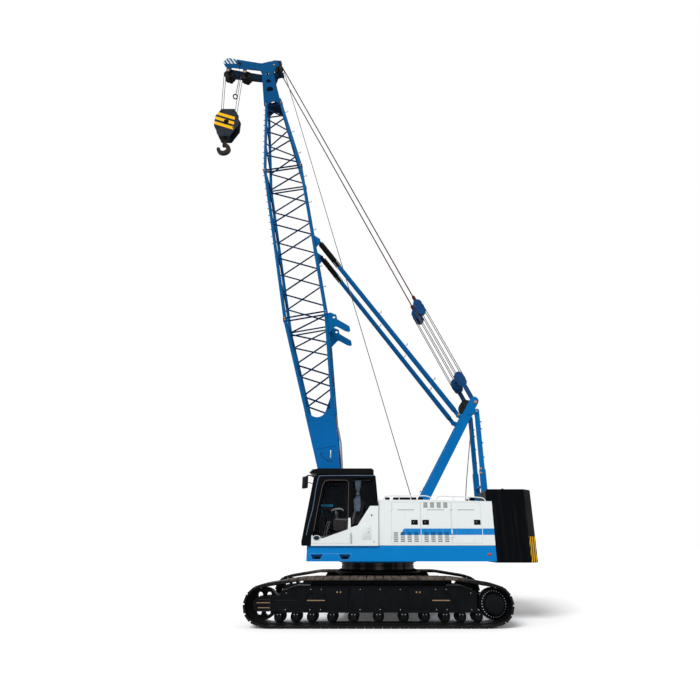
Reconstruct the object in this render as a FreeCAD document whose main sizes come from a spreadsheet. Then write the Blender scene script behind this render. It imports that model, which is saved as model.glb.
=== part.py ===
import FreeCAD, Part
import math
import os
import re
import Sketcher
from FreeCAD import Placement, Rotation, Vector

# Crawler-mounted dynamic compaction machine with a lattice boom.
# Millimetres and degrees. +X is the way the machine faces, +Y its left side,
# +Z up. The origin lies on the ground under the centre of the slewing ring.

os.makedirs("parts", exist_ok=True)
doc = FreeCAD.newDocument("DynamicCompactionMachine")
sheet = doc.addObject("Spreadsheet::Sheet", "Sizes")
values = {}


def sizes(**table):
    for name, value in table.items():
        row = len(values) + 1
        sheet.set("A%d" % row, name)
        sheet.set("B%d" % row, str(value))
        sheet.setAlias("B%d" % row, name)
        values[name] = value


# Clearances between pieces that rest on each other, turn or pass.
sizes(seat_gap=0.3, run_gap=5.0, door_gap=3.0, pin_play=0.06, wheel_gap=4.0)

# Tracks: wheels, shoes and chain of one side.
sizes(wheel_base=5300, track_gauge=3800, shoe_width=760, shoe_count=66,
      wheel_height=470, wheel_belt_radius=420, shoe_thick=42, chain_thick=38,
      chain_width=250, track_top=1030, top_bend_x=1750, top_bend_radius=150,
      bottom_bend_x=2480, bottom_bend_radius=220, shoe_slit=16)

# Track frame, bottom rollers, idler and final drive.
sizes(frame_width=480, frame_bottom=300, frame_top=850, frame_half_length=2250,
      frame_end_drop=110, frame_end_run=330, roller_channel_width=310,
      roller_channel_top=352, frame_arm_thick=70, arm_tip_x=2860, arm_low=330,
      arm_high=610, skid_half_length=1600, skid_width=110, roller_radius=130,
      roller_width=230, roller_axle_radius=42, wheel_width=250,
      hub_radius=220, hub_out=345, hub_flange_radius=300, idler_hub_radius=120, idler_axle_radius=55,
      idler_hole_radius=62, idler_hole_circle=205)

# Car body with its two cross beams, and the slewing ring.
sizes(beam_x=930, beam_width=480, beam_low=360, beam_high=800, beam_plate=25,
      beam_plate_low=300, car_half_length=1000, car_half_width=1120, car_low=350,
      car_high=950, car_cone_low=1000, car_cone_radius=1150, car_cone_base=860,
      car_cone_top=1055, ring_radius=990, ring_inner=790, ring_low=1135,
      ring_high=1300, flange_radius=1050)

# Revolving platform.
sizes(platform_front=1776, platform_rear=-2915, platform_half=1600,
      platform_low=1350, deck=1707, tail_rear=-3130,
      tail_half=600, tail_low=1420, tail_top=1690, step_low=1390, step_high=1510,
      step_start=690, step_end=1660, step_depth=110)

# Machinery housings on both sides of the winch bay, and their doors.
sizes(house_front=-12, house_rear=-2915, house_inner=640, house_top=2800,
      house_rear_top=2764, sheet_metal=25, post_one=-327, post_two=-1079,
      post_three=-1855, post_four=-2620, door_low=1765, door_high=2745,
      louvre_width=108, louvre_pitch=170, louvre_high=26, louvre_step=48,
      louvre_depth=12, louvre_low=1800, hinge_radius=9, hinge_long=90,
      hinge_lift=10, hinge_tab=42, hinge_leaf=5, hinge_low=1900, hinge_high=2560,
      post_half=8)

# Counterweight.
sizes(weight_front=-2915.3, weight_rear=-4020, weight_low=1320, weight_top=3070,
      weight_half=1560, weight_bevel_x=-3780, weight_bevel_y=1290,
      weight_notch_depth=330, weight_notch_half=640, overhang_front=-2778,
      overhang_low=2808)

# Operator's cab.
sizes(cab_right=700, cab_left=1650, cab_wall=45, cab_nose=1909, cab_brow=1665,
      cab_top=3415, cab_back_top=63, cab_back_mid=-8, cab_back_height=2675,
      door_back=705, door_sill=1765, door_head=3345, guard_low=3450,
      guard_high=3590, guard_tip=1800, guard_back=110, glass_thick=6,
      cab_hinge_low=1880, cab_hinge_high=3060)

# Boom: foot pin, angle and sections along its own line.
sizes(boom_angle=79.2, foot_x=1060, foot_z=2020, foot_pin_radius=60,
      chord_depth=660, chord_side=580, chord_radius=55, joint_radius=68, lace_radius=27,
      base_end=6640, middle_end=12800, top_end=16450, tip_chord_depth=300,
      tip_chord_side=255, base_plate_end=3080, base_free_chord=3450,
      foot_half_depth=142, chord_slope_start=1770, chord_slope_depth=252,
      base_plate_thick=90, head_plate=32, head_side=270)

# Gantry (A-frame), stays and backstops.
sizes(gantry_side=500, strut_deep=260, strut_wide=110, strut_foot_x=-700,
      strut_foot_z=1845, gantry_top_x=-2907, gantry_top_z=5740, link_foot_x=-3010,
      link_foot_z=1830, link_joint_z=3690, link_wide=90, link_top_x=-2962, link_top_z=5428,
      gantry_sheave_radius=220, stay_pin_radius=40, stay_pin_x=-2920, stay_pin_z=5740,
      stay_eye_along=18821, stay_eye_across=-495, lower_block=820,
      upper_block=3580, block_half=280, block_sheave_size=165, block_side=350, pendant_start=3950,
      pendant_side=316, pendant_radius=20, stop_foot_x=-2404, stop_foot_z=5306,
      stop_eye_along=9450, stop_eye_across=-830, stop_pin_radius=26, stop_eye_thick=50, stop_tube_radius=76,
      stop_bore_radius=56, stop_tube_end=6300, stop_rod_radius=50,
      stop_rod_start=4150, stop_spring_start=6600, stop_spring_radius=85)

# Hoisting gear.
sizes(head_sheave_radius=220, head_sheave_x=6200, head_sheave_z=20100,
      second_sheave_x=5480, second_sheave_z=20020, sheave_width=46,
      rope_radius=13, hook_x=5985, block_sheave_z=17350, block_sheave_radius=270,
      block_top=18030, block_low=16600, hook_low=15820, hook_radius=265, hook_throat=130,
      hook_half=55, block_half_x=470)

doc.recompute()
WORD = re.compile(r"[a-z][a-z_]+")


def full(text):
    return WORD.sub(lambda m: "Sizes." + m.group(0) if m.group(0) in values else m.group(0), text)


def amount(text):
    return float(sheet.evalExpression(full(text))) if isinstance(text, str) else float(text)


def bind(thing, name, text):
    if isinstance(text, str):
        thing.setExpression(name, full(text))


def plane_of(body, role):
    return [o for o in body.Origin.OriginFeatures if o.Role == role][0]


def rounded_loop(points):
    # Straight edges joined by tangent arcs at the points that carry a radius.
    corners = []
    count = len(points)
    for i in range(count):
        here = Vector(points[i][0], points[i][1], 0)
        radius = points[i][2] if len(points[i]) > 2 else 0
        if not radius:
            corners.append((here, here, None))
            continue
        before = Vector(points[i - 1][0], points[i - 1][1], 0) - here
        after = Vector(points[(i + 1) % count][0], points[(i + 1) % count][1], 0) - here
        before.normalize()
        after.normalize()
        half = before.getAngle(after) / 2
        run = radius / math.tan(half)
        middle = (before + after).normalize()
        crown = here + middle * (radius / math.sin(half) - radius)
        corners.append((here + before * run, here + after * run, crown))
    edges = []
    for i in range(count):
        start, end, crown = corners[i]
        if crown is not None:
            edges.append(Part.Arc(start, crown, end))
        follow = corners[(i + 1) % count][0]
        if (follow - end).Length > 1e-6:
            edges.append(Part.LineSegment(end, follow))
    return edges


def draw(sketch, loop):
    if isinstance(loop, dict):
        sketch.addGeometry(loop["edges"])
        return
    if loop[0] == "circle":
        x, y, r = loop[1:]
        i = sketch.addGeometry(Part.Circle(Vector(amount(x), amount(y), 0), Vector(0, 0, 1), amount(r)))
        rules = [Sketcher.Constraint("DistanceX", i, 3, amount(x)),
                 Sketcher.Constraint("DistanceY", i, 3, amount(y)),
                 Sketcher.Constraint("Radius", i, amount(r))]
        first = len(sketch.Constraints)
        sketch.addConstraint(rules)
        for k, text in enumerate((x, y, r)):
            bind(sketch, "Constraints[%d]" % (first + k), text)
        return
    if any(len(p) > 2 for p in loop):
        sketch.addGeometry(rounded_loop([[amount(v) for v in p] for p in loop]))
        return
    spots = [Vector(amount(p[0]), amount(p[1]), 0) for p in loop]
    start = len(sketch.Geometry)
    count = len(spots)
    sketch.addGeometry([Part.LineSegment(spots[i], spots[(i + 1) % count]) for i in range(count)])
    rules, texts = [], []
    for i in range(count):
        rules.append(Sketcher.Constraint("Coincident", start + i, 2, start + (i + 1) % count, 1))
        texts.append(None)
        for axis, word in ((0, "DistanceX"), (1, "DistanceY")):
            rules.append(Sketcher.Constraint(word, start + i, 1, spots[i][axis]))
            texts.append(loop[i][axis])
    first = len(sketch.Constraints)
    sketch.addConstraint(rules)
    for k, text in enumerate(texts):
        bind(sketch, "Constraints[%d]" % (first + k), text)


def new_body(label):
    return doc.addObject("PartDesign::Body", label)


def sketch_at(body, plane, level, loops):
    sketch = body.newObject("Sketcher::SketchObject", body.Name + "_sketch")
    sketch.AttachmentSupport = (plane_of(body, plane + "_Plane"), [""])
    sketch.MapMode = "FlatFace"
    flip = plane == "XZ"
    sketch.AttachmentOffset = Placement(Vector(0, 0, -amount(level) if flip else amount(level)), Rotation())
    if isinstance(level, str):
        bind(sketch, "AttachmentOffset.Base.z", "-(%s)" % level if flip else level)
    for loop in loops:
        draw(sketch, loop)
    return sketch


def sized(feature, low, high):
    feature.Length = amount(high) - amount(low)
    bind(feature, "Length", "(%s) - (%s)" % (high, low))
    return feature


def pad(body, plane, low, high, *loops):
    feature = body.newObject("PartDesign::Pad", body.Name + "_pad")
    feature.Profile = sketch_at(body, plane, high if plane == "XZ" else low, loops)
    return sized(feature, low, high)


def pocket(body, plane, low, high, *loops):
    feature = body.newObject("PartDesign::Pocket", body.Name + "_pocket")
    feature.Profile = sketch_at(body, plane, low if plane == "XZ" else high, loops)
    return sized(feature, low, high)


def rectangle(x0, x1, y0, y1):
    return [(x0, y0), (x1, y0), (x1, y1), (x0, y1)]


def turned(body, plane, axis, points):
    feature = body.newObject("PartDesign::Revolution", body.Name + "_turn")
    feature.Profile = sketch_at(body, plane, 0, [points])
    feature.ReferenceAxis = (plane_of(body, axis + "_Axis"), [""])
    feature.Angle = 360
    return feature


def mirrored(source, label):
    twin = doc.addObject("Part::Mirroring", label)
    twin.Source = source
    twin.Normal = Vector(0, 1, 0)
    return twin


def box(label, x0, x1, y0, y1, z0, z1):
    thing = doc.addObject("Part::Box", label)
    for name, low, high in (("Length", x0, x1), ("Width", y0, y1), ("Height", z0, z1)):
        setattr(thing, name, amount(high) - amount(low))
        bind(thing, name, "(%s) - (%s)" % (high, low))
    thing.Placement = Placement(Vector(amount(x0), amount(y0), amount(z0)), Rotation())
    for name, low in (("x", x0), ("y", y0), ("z", z0)):
        bind(thing, "Placement.Base." + name, low)
    return thing


def bar(label, start, end, radius):
    thing = doc.addObject("Part::Cylinder", label)
    thing.Radius = amount(radius)
    bind(thing, "Radius", radius)
    thing.Height = (end - start).Length
    thing.Placement = Placement(start, Rotation(Vector(0, 0, 1), end - start))
    return thing


def lacing(label, start, end, radius):
    thing = doc.addObject("Part::Prism", label)
    thing.Polygon = 8
    thing.Circumradius = amount(radius)
    bind(thing, "Circumradius", radius)
    thing.Height = (end - start).Length
    thing.Placement = Placement(start, Rotation(Vector(0, 0, 1), end - start))
    return thing


def fused(label, pieces):
    thing = doc.addObject("Part::MultiFuse", label)
    thing.Shapes = pieces
    return thing


def cut_from(label, base, tool):
    thing = doc.addObject("Part::Cut", label)
    thing.Base = base
    thing.Tool = tool
    return thing


def pin(label, x, z, y0, y1, radius):
    # A shaft or disc across the machine, from one side position to another.
    thing = doc.addObject("Part::Cylinder", label)
    thing.Radius = amount(radius)
    bind(thing, "Radius", radius)
    thing.Height = amount(y1) - amount(y0)
    bind(thing, "Height", "(%s) - (%s)" % (y1, y0))
    thing.Placement = Placement(Vector(amount(x), amount(y0), amount(z)), Rotation(Vector(1, 0, 0), -90))
    bind(thing, "Placement.Base.x", x)
    bind(thing, "Placement.Base.y", y0)
    bind(thing, "Placement.Base.z", z)
    return thing


def knuckle(body, x, face, out, reach, low, long, tab="hinge_tab"):
    # Half of a hinge: a barrel in front of the face, on a tab that reaches to one side.
    centre = "%s + (%s) * hinge_lift" % (face, out)
    pad(body, "XY", low, "%s + %s" % (low, long), ("circle", x, centre, "hinge_radius"))
    x0, x1 = sorted((x, "%s + (%s) * (%s)" % (x, reach, tab)), key=amount)
    y0, y1 = sorted(("%s - (%s) * 1" % (face, out), "%s + (%s) * (hinge_leaf + 1)" % (face, out)), key=amount)
    pad(body, "XY", low, "%s + %s" % (low, long), rectangle(x0, x1, y0, y1))


nodes = []


def node(thing, label):
    thing.Label = label
    nodes.append(thing)
    return thing


# ---------------------------------------------------------------- tracks

def belt(inset):
    # The loop runs round six discs: both wheels, the end rollers of the ground
    # run and the bends of the top run. Each disc shrinks by the inset.
    half = amount("wheel_base / 2")
    discs = [(amount("bottom_bend_x"), amount("bottom_bend_radius"), amount("bottom_bend_radius")),
             (half, amount("wheel_height"), amount("wheel_belt_radius")),
             (amount("top_bend_x"), amount("track_top - top_bend_radius"), amount("top_bend_radius"))]
    discs += [(-x, z, r) for x, z, r in reversed(discs)]
    count = len(discs)
    legs = []
    for i in range(count):
        x0, z0, r0 = discs[i]
        x1, z1, r1 = discs[(i + 1) % count]
        dx, dz = x1 - x0, z1 - z0
        reach = math.hypot(dx, dz)
        lead = math.atan2(dz, dx) - math.pi / 2 + math.asin((r0 - r1) / reach)
        legs.append(lead)
    runs = []
    for i in range(count):
        x, z, r = discs[i]
        arrive, leave = legs[i - 1], legs[i]
        while leave < arrive:
            leave += 2 * math.pi
        runs.append((x, z, r - inset, arrive, leave))
    return runs


def on_disc(run, angle):
    return Vector(run[0] + run[2] * math.cos(angle), run[1] + run[2] * math.sin(angle), 0)


def belt_edges(inset):
    runs = belt(inset)
    edges = []
    for i, run in enumerate(runs):
        follow = runs[(i + 1) % len(runs)]
        start, end = on_disc(run, run[3]), on_disc(run, run[4])
        if run[4] - run[3] > 1e-4:
            edges.append(Part.Arc(start, on_disc(run, (run[3] + run[4]) / 2), end))
        edges.append(Part.LineSegment(end, on_disc(follow, follow[3])))
    return {"edges": edges}


def belt_point(runs, distance):
    total = 0
    for i, run in enumerate(runs):
        follow = runs[(i + 1) % len(runs)]
        arc = run[2] * (run[4] - run[3])
        if distance <= total + arc:
            return on_disc(run, run[3] + (distance - total) / run[2])
        total += arc
        a, b = on_disc(run, run[4]), on_disc(follow, follow[3])
        if distance <= total + (b - a).Length:
            return a + (b - a) * ((distance - total) / (b - a).Length)
        total += (b - a).Length
    return on_disc(runs[0], runs[0][3])


def shoe_outline():
    runs = belt(amount("shoe_thick"))
    length = sum(e.toShape().Length for e in belt_edges(amount("shoe_thick"))["edges"])
    count = int(amount("shoe_count"))
    step = length / count
    slit = amount("shoe_slit")
    thick = amount("shoe_thick")
    # The first shoe starts where the ground run starts, so the ground run is flat.
    corners = []
    for i in range(count):
        a = belt_point(runs, (i * step + slit / 2) % length)
        b = belt_point(runs, ((i + 1) * step - slit / 2) % length)
        along = (b - a).normalize()
        out = Vector(along.y, -along.x, 0)
        lean = slit * 0.35
        corners += [a, a + out * thick + along * lean, b + out * thick - along * lean, b]
    return {"edges": [Part.LineSegment(corners[i], corners[(i + 1) % len(corners)])
                      for i in range(len(corners))]}


track = new_body("track_left")
pad(track, "XZ", "track_gauge / 2 - shoe_width / 2", "track_gauge / 2 + shoe_width / 2",
    shoe_outline(), belt_edges(amount("shoe_thick + chain_thick * 0.35")))
pad(track, "XZ", "track_gauge / 2 - chain_width / 2", "track_gauge / 2 + chain_width / 2",
    belt_edges(amount("shoe_thick + chain_thick * 0.2")), belt_edges(amount("shoe_thick + chain_thick")))
node(track, "track_left")
node(mirrored(track, "track_right"), "track_right")

# ---------------------------------------------------------------- track frames

middle = "track_gauge / 2"
frame = new_body("track_frame_left")
ends = "frame_half_length"
pad(frame, "XZ", middle + " - frame_width / 2", middle + " + frame_width / 2",
    [("-" + ends, "frame_bottom"), (ends, "frame_bottom"), (ends, "frame_top - frame_end_drop"),
     (ends + " - frame_end_run", "frame_top"), ("-" + ends + " + frame_end_run", "frame_top"),
     ("-" + ends, "frame_top - frame_end_drop")],
    *[rectangle("%s - beam_width / 2 - seat_gap" % x, "%s + beam_width / 2 + seat_gap" % x,
                "beam_low - seat_gap", "beam_high + seat_gap") for x in ("beam_x", "-beam_x")])
for side in ("-1", "1"):
    inner = middle + " + (%s) * (frame_width / 2 - frame_arm_thick / 2) - frame_arm_thick / 2" % side
    for way in ("1", "-1"):
        if side == "1" and way == "-1":
            continue        # the final drive's hub stands out on this side
        pad(frame, "XZ", inner, inner + " + frame_arm_thick",
            [("%s * (%s - 60)" % (way, ends), "arm_low"), (way + " * (arm_tip_x - 60)", "arm_low"),
             (way + " * arm_tip_x", "arm_low + 60"), (way + " * arm_tip_x", "arm_high - 60"),
             (way + " * (arm_tip_x - 60)", "arm_high"), ("%s * (%s - 60)" % (way, ends), "arm_high + 60")])
pocket(frame, "YZ", "-" + ends + " - 10", ends + " + 10",
       rectangle(middle + " - roller_channel_width / 2", middle + " + roller_channel_width / 2",
                 "frame_bottom - 10", "roller_channel_top"))
pad(frame, "XZ", middle + " - skid_width / 2", middle + " + skid_width / 2",
    [("-skid_half_length", "frame_top - 5"), ("skid_half_length", "frame_top - 5"),
     ("skid_half_length - 60", "track_top - shoe_thick - chain_thick - seat_gap"),
     ("60 - skid_half_length", "track_top - shoe_thick - chain_thick - seat_gap")])
node(frame, "track_frame_left")
node(mirrored(frame, "track_frame_right"), "track_frame_right")


def wheel_place(x, z, side=middle):
    return Placement(Vector(amount(x), amount(side), amount(z)), Rotation())


def place_bound(thing, x, y, z):
    thing.Placement = Placement(Vector(amount(x), amount(y), amount(z)), Rotation())
    for name, text in (("x", x), ("y", y), ("z", z)):
        bind(thing, "Placement.Base." + name, text)


axle_end = "frame_width / 2 - frame_arm_thick - seat_gap"
rim = "wheel_belt_radius - shoe_thick - chain_thick - wheel_gap"
idler = new_body("idler_left")
turned(idler, "XY", "Y",
       [("0", "-(%s)" % axle_end), ("idler_axle_radius", "-(%s)" % axle_end),
        ("idler_axle_radius", "-wheel_width / 2 + 10"), ("idler_hub_radius", "-wheel_width / 2 + 10"),
        ("idler_hub_radius", "-60"), (rim + " - 60", "-60"), (rim + " - 60", "-wheel_width / 2"),
        (rim, "-wheel_width / 2"), (rim, "wheel_width / 2"), (rim + " - 60", "wheel_width / 2"),
        (rim + " - 60", "60"), ("idler_hub_radius", "60"),
        ("idler_hub_radius", "wheel_width / 2 - 10"), ("idler_axle_radius", "wheel_width / 2 - 10"),
        ("idler_axle_radius", axle_end), ("0", axle_end)])
hole = pocket(idler, "XZ", "-80", "80", ("circle", "idler_hole_circle", "0", "idler_hole_radius"))
ring = idler.newObject("PartDesign::PolarPattern", "idler_holes")
ring.Originals = [hole]
ring.Axis = (plane_of(idler, "Y_Axis"), [""])
ring.Angle = 360
ring.Occurrences = 6
idler.Tip = ring
place_bound(idler, "wheel_base / 2", middle, "wheel_height")
node(idler, "idler_left")
node(mirrored(idler, "idler_right"), "idler_right")

drive = new_body("final_drive_left")
turned(drive, "XY", "Y",
       [("0", "-(%s)" % axle_end), ("150", "-(%s)" % axle_end), ("150", "-wheel_width / 2"),
        (rim + " - 90", "-wheel_width / 2"), (rim + " - 90", "-70"),
        (rim, "-55"), (rim, "55"), (rim + " - 90", "70"), (rim + " - 90", "wheel_width / 2"),
        ("hub_flange_radius", "wheel_width / 2"), ("hub_flange_radius", "wheel_width / 2 + 26"),
        ("hub_radius + 22", "wheel_width / 2 + 34"), ("hub_radius", "wheel_width / 2 + 60"),
        ("hub_radius", "hub_out - 45"), ("hub_radius - 35", "hub_out - 20"),
        ("hub_radius - 110", "hub_out - 8"), ("hub_radius - 110", "hub_out"), ("0", "hub_out")])
place_bound(drive, "-wheel_base / 2", middle, "wheel_height")
node(drive, "final_drive_left")
node(mirrored(drive, "final_drive_right"), "final_drive_right")

roller_z = "shoe_thick + chain_thick + roller_radius + seat_gap"
roller = new_body("roller_blank")
turned(roller, "XY", "Y",
       [("0", "-frame_width / 2 + 25"), ("roller_axle_radius", "-frame_width / 2 + 25"),
        ("roller_axle_radius", "-roller_width / 2"), ("roller_radius", "-roller_width / 2"),
        ("roller_radius", "-roller_width / 2 + 40"), ("roller_radius - 14", "-roller_width / 2 + 55"),
        ("roller_radius - 14", "roller_width / 2 - 55"), ("roller_radius", "roller_width / 2 - 40"),
        ("roller_radius", "roller_width / 2"), ("roller_axle_radius", "roller_width / 2"),
        ("roller_axle_radius", "frame_width / 2 - 25"), ("0", "frame_width / 2 - 25")])
for side in ("-1", "1"):
    # Bearing block under the frame's edge, on each end of the roller's axle.
    near = "(%s) * (frame_width / 2 - 45) - 32" % side
    pad(roller, "XZ", near, near + " + 64",
        [("-58", "-58"), ("58", "-58"), ("75", "frame_bottom - (%s) - seat_gap" % roller_z),
         ("-75", "frame_bottom - (%s) - seat_gap" % roller_z)])
rollers = []
for i, x in enumerate((-2260, -1880, -1510, -1050, -570, 0, 570, 1050, 1510, 1880, 2260)):
    copy = doc.addObject("Part::Compound", "roller_%d" % i)
    copy.Links = [roller]
    place_bound(copy, str(x), middle, roller_z)
    rollers.append(copy)
bottom = doc.addObject("Part::Compound", "bottom_rollers_left")
bottom.Links = rollers
node(bottom, "bottom_rollers_left")
node(mirrored(bottom, "bottom_rollers_right"), "bottom_rollers_right")

# ---------------------------------------------------------------- car body and ring

car = new_body("car_body")
pad(car, "XY", "car_low", "car_high",
    [("-car_half_length", "-car_half_width"), ("car_half_length", "-car_half_width"),
     ("car_half_length", "car_half_width"), ("-car_half_length", "car_half_width")])
for x in ("beam_x", "-beam_x"):
    pad(car, "XY", "beam_low", "beam_high",
        rectangle(x + " - beam_width / 2", x + " + beam_width / 2",
                  "-(%s + frame_width / 2 + 2)" % middle, "%s + frame_width / 2 + 2" % middle))
    for side in ("1", "-1"):
        edge = "(%s) * (%s + frame_width / 2 + seat_gap + beam_plate / 2) - beam_plate / 2" % (side, middle)
        pad(car, "XZ", edge, edge + " + beam_plate",
            rectangle(x + " - beam_width / 2", x + " + beam_width / 2", "beam_plate_low", "beam_high"))
turned(car, "XZ", "Z",
       [("0", "car_low"), ("car_cone_low - 60", "car_low"), ("car_cone_low - 60", "car_cone_base"),
        ("car_cone_radius", "car_cone_top"), ("car_cone_radius", "car_cone_top + 35"),
        ("ring_radius + 20", "ring_low - seat_gap"), ("0", "ring_low - seat_gap")])
node(car, "car_body")

ring_body = new_body("slewing_ring")
turned(ring_body, "XZ", "Z",
       [("ring_inner", "ring_low"), ("ring_radius", "ring_low"), ("ring_radius", "ring_low + 75"),
        ("ring_radius - 28", "ring_low + 83"), ("ring_radius - 28", "ring_low + 95"),
        ("ring_radius", "ring_low + 103"), ("ring_radius", "ring_high - seat_gap"),
        ("ring_inner", "ring_high - seat_gap")])
node(ring_body, "slewing_ring")

# ---------------------------------------------------------------- platform

platform = new_body("revolving_platform")
pad(platform, "XY", "platform_low", "deck",
    [("platform_rear", "-platform_half"), ("platform_front - 60", "-platform_half"),
     ("platform_front", "-platform_half + 60"), ("platform_front", "platform_half - 60"),
     ("platform_front - 60", "platform_half"), ("platform_rear", "platform_half")])
pad(platform, "XY", "ring_high", "platform_low + 20", ("circle", "0", "0", "flange_radius"))
pad(platform, "XY", "tail_low", "tail_top", rectangle("tail_rear", "platform_rear + 20", "-tail_half", "tail_half"))
for side in ("1", "-1"):
    low = "(%s) * (platform_half - step_depth / 2) - step_depth / 2 - 1" % side
    high = low + " + step_depth + 2"
    half = "(step_start + step_end) / 2"
    pocket(platform, "XZ", low, high,
           rectangle("step_start", half + " - 12", "step_low", "step_high"),
           rectangle(half + " + 12", "step_end", "step_low", "step_high"))
    for out in ("1", "-1"):
        # Boom foot lugs, one on each side of either boom ear.
        mid = "(%s) * (chord_side + (%s) * (base_plate_thick / 2 + run_gap + 22))" % (side, out)
        pad(platform, "XZ", mid + " - 22", mid + " + 22",
            [("foot_x - 330", "deck - 5"), ("foot_x + 330", "deck - 5"), ("foot_x + 330", "deck + 40"),
             ("foot_x + 150", "foot_z + 20", 40), ("foot_x + 95", "foot_z + 150", 90),
             ("foot_x - 95", "foot_z + 150", 90), ("foot_x - 150", "foot_z + 20", 40),
             ("foot_x - 330", "deck + 40")],
            )
    pad(platform, "XZ", "(%s) * chord_side - base_plate_thick / 2 - 66" % side,
        "(%s) * chord_side + base_plate_thick / 2 + 66" % side, ("circle", "foot_x", "foot_z", "foot_pin_radius"))
    for x, z, wide, base in (("strut_foot_x", "strut_foot_z", "strut_wide", "deck"),
                             ("link_foot_x", "link_foot_z", "link_wide", "tail_top")):
        for out in ("1", "-1"):
            mid = "(%s) * (gantry_side + (%s) * (%s / 2 + seat_gap + 14))" % (side, out, wide)
            pad(platform, "XZ", mid + " - 14", mid + " + 14",
                [(x + " - 110", base + " - 5"), (x + " + 110", base + " - 5"), (x + " + 70", z + " + 60", 30),
                 (x + " - 70", z + " + 60", 30)])
node(platform, "revolving_platform")

# ---------------------------------------------------------------- housings

for hand, sign in (("left", "1"), ("right", "-1")):
    shell = new_body(hand + "_housing")
    low = "house_inner" if hand == "left" else "-platform_half"
    high = "platform_half" if hand == "left" else "-house_inner"
    profile = [("house_rear", "deck + seat_gap"), ("house_front", "deck + seat_gap"),
               ("house_front", "house_top"), ("(house_front + house_rear) / 2", "house_top"),
               ("house_rear", "house_rear_top")]
    pad(shell, "XZ", low, high, profile)
    pocket(shell, "XZ", low + " + sheet_metal", high + " - sheet_metal",
           [("house_rear + sheet_metal", "deck + sheet_metal"),
            ("house_front - sheet_metal", "deck + sheet_metal"),
            ("house_front - sheet_metal", "house_top - sheet_metal"),
            ("(house_front + house_rear) / 2", "house_top - sheet_metal"),
            ("house_rear + sheet_metal", "house_rear_top - sheet_metal")])
    outer = high if hand == "left" else low
    inward = "-" if hand == "left" else "+"
    span = (outer + " - sheet_metal - 5", outer + " + 5") if hand == "left" else (
        outer + " - 5", outer + " + sheet_metal + 5")
    for a, b in (("post_two", "post_one"), ("post_three", "post_two"), ("post_four", "post_three")):
        pocket(shell, "XZ", span[0], span[1],
               rectangle(a + " + post_half", b + " - post_half", "door_low", "door_high"))
    # Where each door hangs: its post, the side its leaf lies on, and its middle height.
    hangs = {"front": ("post_one", "-1"), "middle": ("post_three", "1"), "rear": ("post_three", "-1")}
    for post, reach in hangs.values():
        x = "%s + (%s) * (post_half + door_gap / 2)" % (post, reach)
        for z in ("hinge_low", "hinge_high"):
            knuckle(shell, x, outer, sign, "-(%s)" % reach, z + " + hinge_long + seat_gap", "hinge_long",
                    "post_half + door_gap / 2")
    node(shell, hand + "_housing")
    for name, a, b, rows in (("front", "post_two", "post_one", 5), ("middle", "post_three", "post_two", 5),
                             ("rear", "post_four", "post_three", 0)):
        label = "%s_door_%s" % (hand, name)
        leaf = new_body(label)
        leaf_low = "platform_half - sheet_metal" if hand == "left" else "-platform_half"
        leaf_high = "platform_half" if hand == "left" else "-platform_half + sheet_metal"
        pad(leaf, "XZ", leaf_low, leaf_high,
            rectangle(a + " + post_half + door_gap", b + " - post_half - door_gap", "door_low + door_gap",
                      "door_high - door_gap"))
        post, reach = hangs[name]
        x = "%s + (%s) * (post_half + door_gap / 2)" % (post, reach)
        for z in ("hinge_low", "hinge_high"):
            knuckle(leaf, x, outer, sign, reach, z, "hinge_long")
        if rows:
            face = (leaf_high + " - louvre_depth", leaf_high) if hand == "left" else (
                leaf_low, leaf_low + " + louvre_depth")
            start = "(%s + %s) / 2 - 1.5 * louvre_pitch" % (a, b)
            slots = []
            for column in range(4):
                for row in range(rows):
                    x = "%s + %d * louvre_pitch" % (start, column)
                    z = "louvre_low + %d * louvre_step" % row
                    slots.append(rectangle(x + " - louvre_width / 2", x + " + louvre_width / 2",
                                           z, z + " + louvre_high"))
            pocket(leaf, "XZ", face[0], face[1], *slots)
        node(leaf, label)

# ---------------------------------------------------------------- counterweight

weight = new_body("counterweight")
pad(weight, "XY", "weight_low", "weight_top",
    [("weight_front", "weight_half"), ("weight_bevel_x", "weight_half"),
     ("weight_rear", "weight_bevel_y"), ("weight_rear", "-weight_bevel_y"),
     ("weight_bevel_x", "-weight_half"), ("weight_front", "-weight_half"),
     ("weight_front", "-weight_notch_half"), ("weight_front - weight_notch_depth", "-weight_notch_half"),
     ("weight_front - weight_notch_depth", "weight_notch_half"), ("weight_front", "weight_notch_half")])
for side in ("1", "-1"):
    a, b = ("weight_notch_half", "weight_half") if side == "1" else ("-weight_half", "-weight_notch_half")
    pad(weight, "XZ", a, b,
        [("weight_front - 40", "overhang_low"), ("overhang_front", "overhang_low"),
         ("overhang_front", "weight_top - 60"), ("overhang_front - 50", "weight_top"),
         ("weight_front - 40", "weight_top")])
node(weight, "counterweight")

# ---------------------------------------------------------------- cab

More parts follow.
